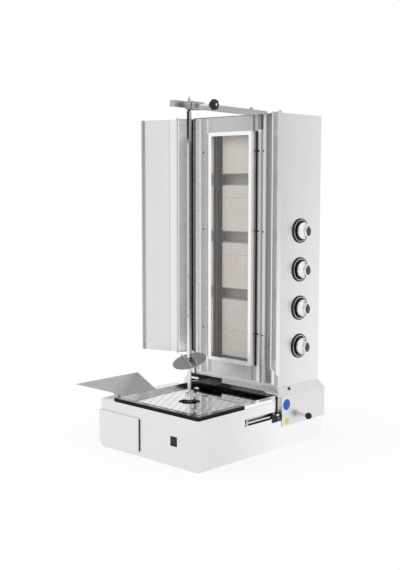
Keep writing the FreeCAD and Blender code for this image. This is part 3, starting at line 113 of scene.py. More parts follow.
# A board is one material or world under construction
class Board:
    def __init__(self, owner):
        owner.use_nodes = True
        self.owner = owner
        self.tree = owner.node_tree
        self.tree.nodes.clear()

    def add(self, kind, settings, sockets, out=0):
        node = self.tree.nodes.new(kind)
        for key, value in settings.items():
            if key == "stops":
                ramp = node.color_ramp
                while len(ramp.elements) < len(value):
                    ramp.elements.new(0.5)
                for element, (place, tone) in zip(ramp.elements, value):
                    element.position = place
                    element.color = colour(tone)
            else:
                setattr(node, key, value)
        for key, value in sockets.items():
            if isinstance(value, Field):
                self.tree.links.new(value.socket, node.inputs[key])
            else:
                node.inputs[key].default_value = value
        return Field(self, node.outputs[out]) if len(node.outputs) else None

    def place(self, kind="Object"):
        return self.add("ShaderNodeTexCoord", {}, {}, kind)

    def axes(self, letters, kind="Object"):
        place = self.place(kind)
        return [self.add("ShaderNodeSeparateXYZ", {}, {0: place}, "xyz".index(letter))
                for letter in letters]

    def stretched(self, scale):
        return self.add("ShaderNodeMapping", {}, {"Vector": self.place(), "Scale": scale})

    def noise(self, vector, scale, detail, rough):
        return self.add("ShaderNodeTexNoise", {}, {
            "Vector": vector, "Scale": scale, "Detail": detail, "Roughness": rough})

    def spread(self, field, low, high, newLow, newHigh):
        return self.add("ShaderNodeMapRange", {}, {
            "Value": field, "From Min": low, "From Max": high,
            "To Min": newLow, "To Max": newHigh})

    def ramp(self, factor, stops):
        return self.add("ShaderNodeValToRGB", {"stops": stops}, {"Fac": factor})

    def tint(self, factor, first, second):
        return self.add("ShaderNodeMix", {"data_type": "RGBA"}, {
            "Factor": factor,
            6: first if isinstance(first, Field) else colour(first),
            7: second if isinstance(second, Field) else colour(second)}, 2)

    def bump(self, height, strength, distance):
        return self.add("ShaderNodeBump", {}, {
            "Height": height, "Strength": strength, "Distance": distance})

    def shader(self, sockets):
        return self.add("ShaderNodeBsdfPrincipled", {}, sockets)

    def finish(self, surface):
        self.add("ShaderNodeOutputMaterial", {}, {"Surface": surface})
        return self.owner


def colour(tone):
    if isinstance(tone, (int, float)):
        tone = (tone, tone, tone)
    return tuple(tone) + (1.0,) if len(tone) == 3 else tuple(tone)


def board(name):
    return Board(bpy.data.materials.new(name))


# Scale of a noise that runs in long lines along one axis
def grained(axis, fine, coarse):
    return tuple(coarse if letter == axis else fine for letter in "xyz")


# Sheet steel: fine lines along the grain, soft cloudiness and faint smears
def sheetSteel(name, tone, rough, grain, depth, cloud, shade=None, paintedPale=None):
    b = board(name)
    stretch = grained(grain, 320, 3)
    lines = b.noise(b.stretched(stretch), 1.0, 2.0, 0.5)
    broad = b.noise(b.stretched(tuple(value * 0.12 for value in stretch)), 1.0, 2.0, 0.5)
    clouds = b.noise(b.place(), 5.0, 3.0, 0.55)
    smears = b.noise(b.place(), 26.0, 4.0, 0.6)
    level = 1.0 + (lines - 0.5) * depth + (broad - 0.5) * depth + (clouds - 0.5) * cloud
    # A painted shade multiplies the tone by place; a pale mask takes most of the mirror away: painted light
    if shade is not None:
        level = level * shade(b)
    base = b.tint(level.clamped(), 0.0, tone)
    roughness = rough + (lines - 0.5) * 0.05 + b.spread(smears, 0.5, 0.75, 0.0, 0.06)
    metal = 1.0 if paintedPale is None else 1.0 - paintedPale(b) * 0.85
    return b.finish(b.shader({"Base Color": base, "Metallic": metal, "Roughness": roughness}))


# Bright drawn or turned steel, nearly mirror smooth, with faint marks
def brightSteel(name, tone, rough, grain="z"):
    b = board(name)
    mark = 0.04
    lines = b.noise(b.stretched(grained(grain, 500, 6)), 1.0, 2.0, 0.5)
    smears = b.noise(b.place(), 40.0, 3.0, 0.6)
    base = b.tint((1.0 + (lines - 0.5) * mark + (smears - 0.5) * mark).clamped(), 0.0, tone)
    roughness = rough + b.spread(smears, 0.45, 0.75, 0.0, rough)
    return b.finish(b.shader({"Base Color": base, "Metallic": 1.0, "Roughness": roughness}))


# Moulded plastic and paint: a speckled tone with a fine texture
def mouldedFinish(name, tone, rough, grainSize, bumpDepth=0.0002):
    b = board(name)
    contrast = 0.12
    specks = b.noise(b.place(), grainSize, 2.0, 0.6)
    clouds = b.noise(b.place(), grainSize * 0.05, 3.0, 0.5)
    level = 1.0 - contrast + (specks * contrast) + (clouds * contrast)
    base = b.tint(level.clamped(), 0.0, tone)
    roughness = rough + (specks - 0.5) * 0.15
    return b.finish(b.shader({"Base Color": base, "Specular IOR Level": 0.15,
                              "Roughness": roughness,
                              "Normal": b.bump(specks, 0.25, bumpDepth)}))


# Steel round the flames: brushed grey with warm stains, painted light and shade by place where asked
def heatedSteel(name, tone, warm, rough, metal=1.0, dressing=None):
    b = board(name)
    lines = b.noise(b.stretched((700, 700, 8)), 1.0, 2.0, 0.6)
    heat = b.noise(b.place(), 9.0, 3.0, 0.6)
    stained = b.tint(b.spread(heat, 0.42, 0.68, 0.0, 1.0), tone, warm)
    level = 0.85 + lines * 0.3
    if dressing is not None:
        level = dressing(b, level)
    base = b.tint(level.clamped(), 0.0, stained)
    return b.finish(b.shader({"Base Color": base, "Metallic": metal,
                              "Roughness": rough + (heat - 0.5) * 0.2,
                              "Normal": b.bump(lines, 0.15, 0.0002)}))


# Burner case, in millimetres: painted bands of light and shade on its side walls, a painted pale front edge
case = {"walls": 24.0, "cell": 7.5, "edge": 11.0, "edgeLevel": 1.8, "behindEdge": 0.1,
        "bands": ((0, 0.9), (12, 0.9), (14, 0.26), (29, 0.30), (30, 0.95), (34, 0.95),
                  (35, 0.26), (54, 0.34))}


def caseDressing(b, level):
    low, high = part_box("burner_case")
    x, y, z = b.axes("xyz")
    wall = high.x - case["walls"] * mm
    side = b.spread(abs(x), wall, wall + 2 * mm, 0.0, 1.0)
    weave = 2 * math.pi / (case["cell"] * mm)
    hatch = (((y + z) * weave).wave().most(((y - z) * weave).wave()) - 0.35).most(0.0)
    bands = along("y", *[(low.y + place * mm, light) for place, light in case["bands"]])(b)
    outer = b.spread(abs(x), high.x - 0.4 * mm, high.x - 0.2 * mm, 0.0, 1.0)
    edge = low.y + case["edge"] * mm
    front = b.spread(y, edge, edge + 1 * mm, 1.0, case["behindEdge"])
    # Painted light and shade: bands on the side walls, the outer face pale in front and dark behind
    level = level * (1.0 + side * (bands + hatch * 0.9 - 1.0))
    return level * (1.0 - outer) + outer * front * case["edgeLevel"]


# Ceramic radiant tile, in millimetres: rows of flame holes, a plain border, a joint line
tile = {"pitch": 2.6, "sideBorder": 7.0, "endBorder": 8.0, "joint": 1.1,
        "joints": (0.31, 0.74, 0.74, 0.93)}


def ceramicTile(name, low, high, share):
    b = board(name)
    x, z = b.axes("xz")
    pitch = tile["pitch"] * mm
    row = z / (pitch * 0.866)
    across = (x / pitch + row.whole() * 0.5).fraction()
    away = ((across - 0.5) ** 2 + (row.fraction() - 0.5) ** 2) ** 0.5
    hole = b.spread(away, 0.20, 0.30, 1.0, 0.0)
    end = tile["endBorder"] * mm
    holed = ((abs(x) < (high.x - tile["sideBorder"] * mm)) * (z > (low.z + end))
             * (z < (high.z - end)))
    seam = low.z + (high.z - low.z) * share
    joint = b.spread(abs(z - seam), 0.0, tile["joint"] * mm, 1.0, 0.0)
    clouds = b.noise(b.place(), 18.0, 3.0, 0.6)
    warm = b.tint(b.spread(clouds, 0.35, 0.7, 0.0, 1.0), (0.95, 0.91, 0.86),
                  (0.95, 0.87, 0.81))
    dark = (hole * holed * 0.14 + joint * 0.6).clamped()
    base = b.tint(dark, warm, (0.30, 0.22, 0.19))
    return b.finish(b.shader({"Base Color": base, "Roughness": 0.9,
                              "Normal": b.bump(1.0 - dark, 0.4, 0.0006)}))


# Tray pan, in millimetres: bright, its front and right walls painted black as a dark reflection
trayRim = {"wide": 25.0, "highlightLine": 14.0, "reflectionTo": -110.0, "floor": 20.0}


def trayFinish(name):
    b = board(name)
    x, y, z = b.axes("xyz")
    low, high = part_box("tray_pan")
    lines = b.noise(b.stretched((500, 500, 60)), 1.0, 2.0, 0.6)
    smears = b.noise(b.place(), 22.0, 4.0, 0.65)
    outside = (high.x - x).least(y - low.y)
    wide = trayRim["wide"] * mm
    reflectionTo = trayRim["reflectionTo"] * mm
    floor = low.z + trayRim["floor"] * mm
    rim = b.spread(outside, wide, wide + 1 * mm, 1.0, 0.0)
    ahead = b.spread(y, reflectionTo, reflectionTo + 4 * mm, 1.0, 0.0)
    edge = b.spread(z, high.z - 3.0 * mm, high.z - 1.6 * mm, 0.0, 1.0)
    highlightLine = b.spread(abs(outside - trayRim["highlightLine"] * mm), 1.6 * mm, 3.0 * mm, 1.0, 0.0)
    # Painted highlight: a light line along the rim's top edge, broken by smears
    rimHighlight = highlightLine * edge * b.spread(smears, 0.42, 0.5, 0.35, 1.0)
    black = rim * ahead * (1.0 - rimHighlight)
    darkReflection = b.tint(b.spread(smears, 0.3, 0.75, 0.0, 1.0), 0.006, 0.03)
    # The lowest part of the pan is darker
    pale = b.tint(b.spread(z, floor, floor + 4 * mm, 1.0, 0.0), 0.95, 0.36)
    base = b.tint(black.clamped(), pale, darkReflection)
    return b.finish(b.shader({"Base Color": base, "Metallic": 1.0,
                              "Roughness": 0.10 + smears * 0.12,
                              "Normal": b.bump(lines, 0.04, 0.0002)}))


# Perforated plate: polished nearly to a mirror, wiped in wide faint swirls
def plateFinish(name):
    b = board(name)
    swirl = b.noise(b.place(), 16.0, 4.0, 0.6)
    fine = b.noise(b.place(), 240.0, 2.0, 0.6)
    base = b.tint((0.92 + swirl * 0.12).clamped(), 0.0, 0.86)
    return b.finish(b.shader({"Base Color": base, "Metallic": 1.0,
                              "Roughness": 0.045 + b.spread(swirl, 0.45, 0.7, 0.0, 0.07),
                              "Normal": b.bump(swirl + fine * 0.03, 0.05, 0.002)}))


# Painted light and shade: how light a sheet is along one axis, as (place, level) stops
def along(axis, *stops):
    first = stops[0][0]
    last = stops[-1][0]

    def shade(b):
        share = b.spread(b.axes(axis)[0], first, last, 0.0, 1.0)
        return b.ramp(share, [((place - first) / (last - first), level)
                              for place, level in stops])
    return shade


# Skewer, by share of a height in metres: painted light and reflection, dark in front near the top arm, grey on its
# right
skewer = {"from": 0.20, "to": 1.26,
          "front": ((0.0, 0.86), (0.19, 0.84), (0.30, 0.60), (0.84, 0.56), (0.87, 0.05),
                    (0.96, 0.03), (1.0, 0.5)),
          "right": ((0.0, 0.62), (0.19, 0.55), (0.30, 0.24), (0.84, 0.22), (0.87, 0.50),
                    (1.0, 0.5))}


def skewerShade(b):
    x, z = b.axes("xz")
    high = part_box("skewer_bar")[1]
    share = b.spread(z, skewer["from"], skewer["to"], 0.0, 1.0)
    face = b.spread(x, high.x - 1.8 * mm, high.x - 1.5 * mm, 0.0, 1.0)
    return b.tint(face, b.ramp(share, skewer["front"]), b.ramp(share, skewer["right"]))


# Faces pale in the photo though they mirror the dark: burner frame's side, base's top
# Painted light: these masks take the mirror off the faces so that they read pale
def frameSide(b):
    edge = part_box("burner_frame")[1].x
    return b.spread(b.axes("x")[0], edge - 0.6 * mm, edge - 0.3 * mm, 0.0, 1.0)


def baseTop(b):
    x, z = b.axes("xz")
    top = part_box("base_shell")[1].z
    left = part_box("tray_pan")[0].x
    return (b.spread(z, top - 0.4 * mm, top - 0.2 * mm, 0.0, 1.0)
            * b.spread(x, left - 2 * mm, left, 1.0, 0.0))


# Carriage cover, in millimetres: painted shadow under its top plate, painted shade left of the arch's lip
arch = {"plate": 1.0, "shadowTall": 12.0, "shadowHalf": 212.0, "shadowBehind": 16.0, "dark": 0.97,
        "lipFrom": -45.0, "lipTo": 232.0, "cornerFrom": 16.0, "cornerTall": 14.0}


def coverShade(b):
    low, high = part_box("carriage_cover")
    x, y, z = b.axes("xyz")
    plate = high.z - arch["plate"] * mm
    shadowBottom = high.z - arch["shadowTall"] * mm
    half = arch["shadowHalf"] * mm
    back = low.y + arch["shadowBehind"] * mm
    under = b.spread(z, plate, plate + 0.4 * mm, 1.0, 0.0)
    level = b.spread(z, shadowBottom, shadowBottom + 2 * mm, 0.0, 1.0)
    middle = b.spread(abs(x), half, half + 4 * mm, 1.0, 0.0)
    behind = b.spread(y, back, back + 2 * mm, 0.0, 1.0)
    corner = ((y < low.y + 1 * mm) * (x < arch["lipFrom"] * mm)
              * (x > low.x + arch["cornerFrom"] * mm) * (z > high.z - arch["cornerTall"] * mm))
    return 1.0 - (under * level * middle * behind).most(corner) * arch["dark"]


# Painted reflections: tones by place, in metres, of sheets that mirror lighter and darker parts of the room
paintedTones = {"base": ("y", (-0.35, 0.82), (-0.20, 0.82), (0.10, 1.0)),
         "tower": ("y", (0.10, 0.84), (0.20, 0.93), (0.36, 1.0)),
         "wings": ("x", (-0.376, 0.66), (-0.366, 0.73), (-0.270, 0.75), (-0.267, 0.64),
                   (-0.264, 0.64), (-0.262, 0.82), (-0.244, 0.82), (-0.240, 0.72),
                   (0.2, 0.86))}

# Finishes by material slot
finishes = {
    "base_steel": sheetSteel("baseSteel", 0.98, 0.30, "x", 0.05, 0.04,
                             along(*paintedTones["base"]), baseTop),
    "drawer_steel": sheetSteel("drawerSteel", 0.81, 0.30, "x", 0.05, 0.04),
    "carriage_steel": sheetSteel("carriageSteel", 0.79, 0.32, "y", 0.05, 0.05, coverShade),
    "tower_steel": sheetSteel("towerSteel", 0.86, 0.26, "z", 0.04, 0.04,
                              along(*paintedTones["tower"])),
    "panel_steel": sheetSteel("panelSteel", 0.80, 0.18, "z", 0.07, 0.06),
    "wing_steel": sheetSteel("wingSteel", 1.0, 0.22, "z", 0.04, 0.05,
                             along(*paintedTones["wings"])),
    "catch_steel": sheetSteel("catchSteel", 0.42, 0.24, "y", 0.05, 0.08),
    "frame_steel": sheetSteel("frameSteel", 0.94, 0.20, "z", 0.04, 0.04, None, frameSide),
    "inner_steel": sheetSteel("innerSteel", 0.62, 0.36, "y", 0.07, 0.08),
    "arm_steel": sheetSteel("armSteel", 0.46, 0.24, "y", 0.10, 0.10),
    "hinge_steel": sheetSteel("hingeSteel", 0.72, 0.30, "y", 0.06, 0.06),
    "clip_steel": sheetSteel("clipSteel", 0.55, 0.34, "y", 0.06, 0.06),
    "clamp_steel": sheetSteel("clampSteel", 0.55, 0.34, "y", 0.06, 0.06),
    "skewer_steel": sheetSteel("skewerSteel", 1.0, 0.14, "z", 0.05, 0.08, skewerShade),
    "socket_steel": brightSteel("socketSteel", 0.80, 0.07),
    "rod_steel": brightSteel("rodSteel", 0.86, 0.05, "y"),
    "collar_steel": brightSteel("collarSteel", 0.72, 0.10),
    "knob_chrome": brightSteel("knobChrome", 0.86, 0.04),
    "screw_steel": brightSteel("screwSteel", 0.10, 0.30),
    "tray_steel": trayFinish("traySteel"),
    "plate_steel": plateFinish("plateSteel"),
    "guard_wire": heatedSteel("guardWire", 0.44, (0.44, 0.40, 0.37), 0.40),
    "case_steel": heatedSteel("caseSteel", 0.50, (0.52, 0.46, 0.43), 0.48, 0.30,
                              caseDressing),
    "tile_ceramic": ceramicTile("tileCeramic", *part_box("burner_tile_1"), 0.74),
    "gas_brass": brightSteel("gasBrass", (0.78, 0.60, 0.30), 0.24),
    "gas_pipe": sheetSteel("gasPipe", (0.66, 0.65, 0.62), 0.42, "z", 0.08, 0.12),
    "gas_tube": brightSteel("gasTube", (0.80, 0.80, 0.81), 0.26),
    "motor_paint": mouldedFinish("motorPaint", (0.10, 0.11, 0.12), 0.45, 300.0),
    "bezel_black": mouldedFinish("bezelBlack", (0.025, 0.025, 0.027), 0.30, 500.0, 0.0001),
    "switch_plastic": mouldedFinish("switchPlastic", (0.03, 0.03, 0.032), 0.32, 500.0, 0.0001),
    "star_plastic": mouldedFinish("starPlastic", (0.022, 0.022, 0.024), 0.24, 500.0, 0.0001),
    "plunger_plastic": mouldedFinish("plungerPlastic", (0.02, 0.02, 0.022), 0.14, 300.0,
                                     0.00005),
    "stop_plastic": mouldedFinish("stopPlastic", (0.03, 0.03, 0.03), 0.5, 400.0),
    "gland_plastic": mouldedFinish("glandPlastic", (0.035, 0.035, 0.035), 0.5, 400.0),
}


def dress(node, material):
    nodes[node].data.materials.clear()
    nodes[node].data.materials.append(material)


for entry in frame["record"]["subparts"]:
    dress(entry["node"], finishes[entry["material_slot"]])
for index, share in enumerate(tile["joints"], 1):
    node = "burner_tile_%d" % index
    dress(node, ceramicTile("ceramic%d" % index, *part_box(node), share))


# Folded sheets between the wings in painted bands of light and shade, in millimetres from a strip's outer edge or
# its ridge
column = {"groove": 8.0, "ridge": 17.5, "foldEnd": 14.0, "headDark": 0.72, "wallShadeFrom": 33.0}


def dressColumn():
    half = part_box("tower_side_right")[1].x
    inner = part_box("burner_frame")[1].x + column["groove"] * mm
    ridge = inner + column["ridge"] * mm
    fold = ridge + column["foldEnd"] * mm
    bands = {
        "front_strip_right": ((inner, 1.0), (ridge - 6 * mm, 1.0), (ridge + 2 * mm, 0.78),
                              (ridge + 4 * mm, 0.30), (fold, 0.32), (fold + 3 * mm, 0.67),
                              (half - 60 * mm, 0.67), (half - 56 * mm, 0.31),
                              (half - 29 * mm, 0.34), (half - 27 * mm, 0.92), (half, 0.92)),
        "front_strip_left": ((-half, 0.05), (-half + 26 * mm, 0.06), (-half + 28 * mm, 0.74),
                             (-ridge - 33 * mm, 0.74), (-ridge - 29 * mm, 0.38),
                             (-ridge - 5 * mm, 0.46), (-ridge - 3 * mm, 0.95),
                             (-ridge, 0.95), (-ridge + 2 * mm, 0.50), (-inner, 0.50)),
    }
    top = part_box("burner_frame")[1].z

    def withHead(b):
        # Above the frame the fold next to the header mirrors the dark under the arm
        x, z = b.axes("xz")
        over = b.spread(z, top, top + 6 * mm, 0.0, 1.0)
        beside = b.spread(x, fold, fold + 4 * mm, 1.0, 0.0)
        light = along("x", *bands["front_strip_right"])(b)
        return light * (1.0 - over * beside * column["headDark"])

    # Painted shade: the left hinge wall darkens towards the tower's corner, the header and footer to the right
    low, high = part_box("hinge_wall_left")
    wallShadeFrom = low.y + column["wallShadeFrom"] * mm
    walls = {"left": along("y", (low.y, 1.0), (wallShadeFrom, 1.0), (wallShadeFrom + 5 * mm, 0.30),
                           (high.y - 6 * mm, 0.10), (high.y, 0.05)),
             "right": along("y", (low.y, 1.0), (high.y, 0.9))}
    low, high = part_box("header_panel")
    panel = along("x", (low.x, 0.62), (0.0, 0.60), (high.x, 0.52))
    for node, tone, rough, cloud, shade in (
            ("front_strip_right", 1.0, 0.24, 0.06, withHead),
            ("front_strip_left", 1.0, 0.24, 0.06, along("x", *bands["front_strip_left"])),
            ("hinge_wall_left", 1.0, 0.20, 0.06, walls["left"]),
            ("hinge_wall_right", 1.0, 0.20, 0.06, walls["right"]),
            ("header_panel", 0.86, 0.20, 0.08, panel),
            ("footer_panel", 1.0, 0.20, 0.08, panel)):
        dress(node, sheetSteel(node.replace("_", ""), tone, rough, "z", 0.06, cloud, shade))


dressColumn()


# Making pieces: rings of vertices, turned profiles and Geometry Nodes trees
def jointNamed(name):
    return [joint for joint in frame["joints"] if joint["name"] == name][0]


def linkPiece(name, mesh, materials, body, replaced=()):
    piece = bpy.data.objects.new(name, mesh)
    bpy.context.scene.collection.objects.link(piece)
    for material in materials:
        mesh.materials.append(material)
    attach(piece, body)
    if replaced:
        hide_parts(*replaced)
    return piece


def ringAt(work, centre, side, up, reach, sides):
    # Reach gives the radius at an angle
    ring = []
    for step in range(sides):
        angle = 2 * math.pi * step / sides
        radius = reach(angle)
        ring.append(work.verts.new(centre + side * radius * math.cos(angle)
                                   + up * radius * math.sin(angle)))
    return ring


def painted(faces, material):
    for face in faces:
        face.material_index = material


def walled(work, rings, material=0):
    # Faces from ring to ring, where a ring of one vertex is a tip
    made = []
    for first, second in zip(rings, rings[1:]):
        count = max(len(first), len(second))
        for step in range(count if count > 1 else 0):
            after = (step + 1) % count
            if len(first) == 1:
                corners = [first[0], second[after], second[step]]
            elif len(second) == 1:
                corners = [first[step], first[after], second[0]]
            else:
                corners = [first[step], first[after], second[after], second[step]]
            made.append(work.faces.new(corners))
    painted(made, material)


def capped(work, rings, material=0):
    painted([work.faces.new(ring) for ring in rings], material)


def turned(work, profile, start, axis, sides, material=0):
    # A profile of (distance, radius) pairs in millimetres, spun about the axis
    forward = Vector(axis).normalized()
    side = forward.orthogonal().normalized()
    up = forward.cross(side)
    rings = []
    for distance, radius in profile:
        centre = Vector(start) + forward * (distance * mm)
        if radius == 0:
            rings.append([work.verts.new(centre)])
        else:
            rings.append(ringAt(work, centre, side, up, lambda angle: radius * mm, sides))
    walled(work, rings, material)


def meshFrom(work, name, angle=35.0):
    bmesh.ops.recalc_face_normals(work, faces=work.faces[:])
    mesh = bpy.data.meshes.new(name)
    work.to_mesh(mesh)
    work.free()
    for face in mesh.polygons:
        face.use_smooth = True
    mesh.set_sharp_from_angle(angle=math.radians(angle))
    return mesh


# A Geometry Nodes group, with named inputs and fields like a board's
class PieceTree(Board):
    def __init__(self, name):
        self.tree = bpy.data.node_groups.new(name, "GeometryNodeTree")
        for way in ("INPUT", "OUTPUT"):
            self.tree.interface.new_socket("Geometry", in_out=way,
                                           socket_type="NodeSocketGeometry")
        self.entry = self.tree.nodes.new("NodeGroupInput")
        self.values = {}

    def input(self, name, kind, value):
        made = self.tree.interface.new_socket(name, in_out="INPUT",
                                              socket_type="NodeSocket" + kind)
        self.values[made.identifier] = value
        return Field(self, self.entry.outputs[name])

    def joined(self, layers):
        join = self.tree.nodes.new("GeometryNodeJoinGeometry")
        for layer in layers:
            self.tree.links.new(layer.socket, join.inputs[0])
        return Field(self, join.outputs[0])

    def close(self, geometry, material):
        real = self.add("GeometryNodeRealizeInstances", {}, {0: geometry})
        dressed = self.add("GeometryNodeSetMaterial", {}, {0: real, "Material": material})
        self.add("NodeGroupOutput", {}, {0: dressed})

    def meshOn(self, start, name):
        carrier = bpy.data.objects.new(name + "Carrier", start)
        bpy.context.scene.collection.objects.link(carrier)
        modifier = carrier.modifiers.new(name, "NODES")
        modifier.node_group = self.tree
        for identifier, value in self.values.items():
            modifier[identifier] = value
        graph = bpy.context.evaluated_depsgraph_get()
        mesh = bpy.data.meshes.new_from_object(carrier.evaluated_get(graph))
        carrier.modifiers.remove(modifier)
        bpy.data.objects.remove(carrier)
        mesh.name = name
        return mesh


# Burner guard, in metres: two crossed layers of wire at 45 degrees, behind the frame
guard = {"cell": 6.2 * mm, "wire": 0.40 * mm, "overlap": 2.0 * mm, "apart": 1.7,
         "inset": 0.5 * mm}


def makeGuard():
    low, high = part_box("burner_guard")
    wide = high.x - low.x + guard["overlap"]
    tall = high.z - low.z + guard["overlap"]
    step = guard["cell"] * math.sqrt(2)
    tree = PieceTree("wireCloth")
    width = tree.input("Width", "Float", wide)
    height = tree.input("Height", "Float", tall)
    pitch = tree.input("Pitch", "Float", step)
    wire = tree.input("Wire", "Float", guard["wire"])
    count = tree.input("Count", "Int", int((wide + tall) / step))
    metal = tree.input("Metal", "Material", finishes["guard_wire"])
    layers = []
    for side in (0, 1):
        line = tree.add("GeometryNodeMeshLine", {}, {"Count": count, "Offset": (0, 0, 0)})
        number = tree.add("GeometryNodeInputIndex", {}, {})
        reach = (number + 0.5) * pitch
        startX = (reach - height).most(0.0)
        endX = reach.least(width)
        run = (endX - startX) * math.sqrt(2)
        middleX = (startX + endX) * 0.5
        middleZ = reach - middleX
        if side:
            middleX = width - middleX
        point = tree.add("ShaderNodeCombineXYZ", {}, {
            0: middleX - width * 0.5, 1: wire * (guard["apart"] * side),
            2: middleZ - height * 0.5})
        placed = tree.add("GeometryNodeSetPosition", {}, {0: line, "Position": point})
        bar = tree.add("GeometryNodeMeshCylinder", {"fill_type": "NGON"}, {
            "Vertices": 5, "Side Segments": 1, "Fill Segments": 1,
            "Radius": 1.0, "Depth": 1.0})
        size = tree.add("ShaderNodeCombineXYZ", {}, {0: wire, 1: wire, 2: run})
        turn = math.radians(45.0 if side else -45.0)
        layers.append(tree.add("GeometryNodeInstanceOnPoints", {}, {
            "Points": placed, "Instance": bar, "Rotation": (0.0, turn, 0.0),
            "Scale": size}))
    tree.close(tree.joined(layers), metal)
    mesh = tree.meshOn(bpy.data.meshes.new("clothSeed"), "guardCloth")
    mesh.transform(Matrix.Translation(((low.x + high.x) / 2, low.y + guard["inset"],
                                       (low.z + high.z) / 2)))
    linkPiece("guardCloth", mesh, [], "carriage", ["burner_guard"])


makeGuard()
print("guard woven")


# Gas knobs and bezels, in millimetres: chrome on black, with a dark drop on the grip
knob = {"neck": 26.5, "skirt": 31.0, "gripFrom": 20.0, "stand": 39.5, "faceWide": 41.0,
        "faceTall": 55.0, "dropWide": 29.0, "dropTall": 38.0, "dropSunk": 0.8,
        "dropThick": 1.2}
bezel = {"outer": 45.5, "hole": 7.0, "thick": 5.0, "lineFrom": 40.4, "lineTo": 38.6,
         "dish": 33.0, "dishThick": 1.6}


def dropOutline(wide, tall, count=28):
    # A drop that comes to a soft point at its top, as (across, up) pairs
    points = []
    for step in range(count):
        angle = 2 * math.pi * step / count
        up = math.cos(angle)
        taper = 1.0 if up < 0 else (1.0 - up) ** 0.5 * (1 + up) ** 0.22
        points.append((math.sin(angle) * taper * wide / 2, up * tall / 2))
    return points


def diamondOutline(wide, tall, count=40):
    # Between a diamond and an oval, as (across, up) pairs
    points = []
    for step in range(count):
        angle = 2 * math.pi * step / count
        across, up = [math.copysign(abs(value) ** 1.25, value)
                      for value in (math.sin(angle), math.cos(angle))]
        points.append((across * wide / 2, up * tall / 2))
    return points


def prism(work, outline, place, depth, soften, material):
    # An outline in the panel's plane, raised along +X with a softened front edge
    rings = []
    for rise, inset in ((0, 0), (depth - soften, 0), (depth - soften * 0.3, soften * 0.3),
                        (depth, soften)):
        scale = [max(0.2, 1 - inset / max(0.001, math.hypot(a, u))) for a, u in outline]
        rings.append([work.verts.new((place[0] + rise, place[1] + a * s, place[2] + u * s))
                      for (a, u), s in zip(outline, scale)])
    walled(work, rings, material)
    capped(work, (rings[0], rings[-1]), material)


def makeKnobs():
    dropInlay = mouldedFinish("dropInlay", (0.075, 0.075, 0.08), 0.35, 500.0, 0.0001)
    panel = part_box("knob_bezels")[0].x
    neck = knob["neck"]
    skirt = knob["skirt"]
    outer = bezel["outer"]
    hole = bezel["hole"]
    thick = bezel["thick"]
    ringWork = bmesh.new()
    for index in range(1, 5):
        node = "gas_knob_%d" % index
        low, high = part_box(node)
        centre = Vector((panel, (low.y + high.y) / 2, (low.z + high.z) / 2))
        work = bmesh.new()
        turned(work, [(-5.6, 0), (-5.6, 4.5), (2.6, 4.5), (2.7, neck), (9.4, neck)],
               centre, (1, 0, 0), 72, 2)
        turned(work, [(9.4, neck), (9.6, skirt - 2), (10.6, skirt - 0.5), (12.4, skirt),
                      (16.4, skirt), (18.6, skirt - 0.9), (22.0, skirt - 3.6),
                      (26.0, skirt - 7.2), (29.0, skirt - 8.8), (31.0, skirt - 10.2),
                      (31.4, 0)], centre, (1, 0, 0), 72)
        grip = diamondOutline(knob["faceWide"] * mm, knob["faceTall"] * mm)
        prism(work, grip, centre + Vector((knob["gripFrom"] * mm, 0, 0)),
              (knob["stand"] - knob["gripFrom"]) * mm, 3.0 * mm, 0)
        inlay = dropOutline(knob["dropWide"] * mm, knob["dropTall"] * mm)
        prism(work, inlay, centre + Vector(((knob["stand"] - knob["dropSunk"]) * mm, 0, 0)),
              knob["dropThick"] * mm, 0.3 * mm, 1)
        linkPiece("gasKnob%d" % index, meshFrom(work, "gasKnob%d" % index, 32.0),
                  [finishes["knob_chrome"], dropInlay, finishes["bezel_black"]],
                  node, [node])
        for profile, material in (
                ([(0, hole), (0, outer), (3.6, outer), (4.7, outer - 0.9),
                  (thick, outer - 2.3), (thick, bezel["lineFrom"])], 0),
                ([(thick, bezel["lineFrom"]), (thick, bezel["lineTo"])], 1),
                ([(thick, bezel["lineTo"]), (4.2, 37.4), (bezel["dishThick"], bezel["dish"]),
                  (bezel["dishThick"], hole), (0, hole)], 0)):
            turned(ringWork, profile, centre, (1, 0, 0), 96, material)
    linkPiece("knobRings", meshFrom(ringWork, "knobRings", 30.0),
              [finishes["bezel_black"], finishes["knob_chrome"]], "carriage",
              ["knob_bezels"])


makeKnobs()
print("knobs turned")


# Meat disc, in millimetres: leaning to the front, a rib on either side of its square hole
disc = {"radius": 62.0, "thick": 2.5, "lean": 20.0, "hole": 6.4, "halfDrop": 16.5,
        "ribTurn": -29.4, "ribApart": 13.0, "ribThick": 2.5, "ribHigh": 14.0, "sides": 96}


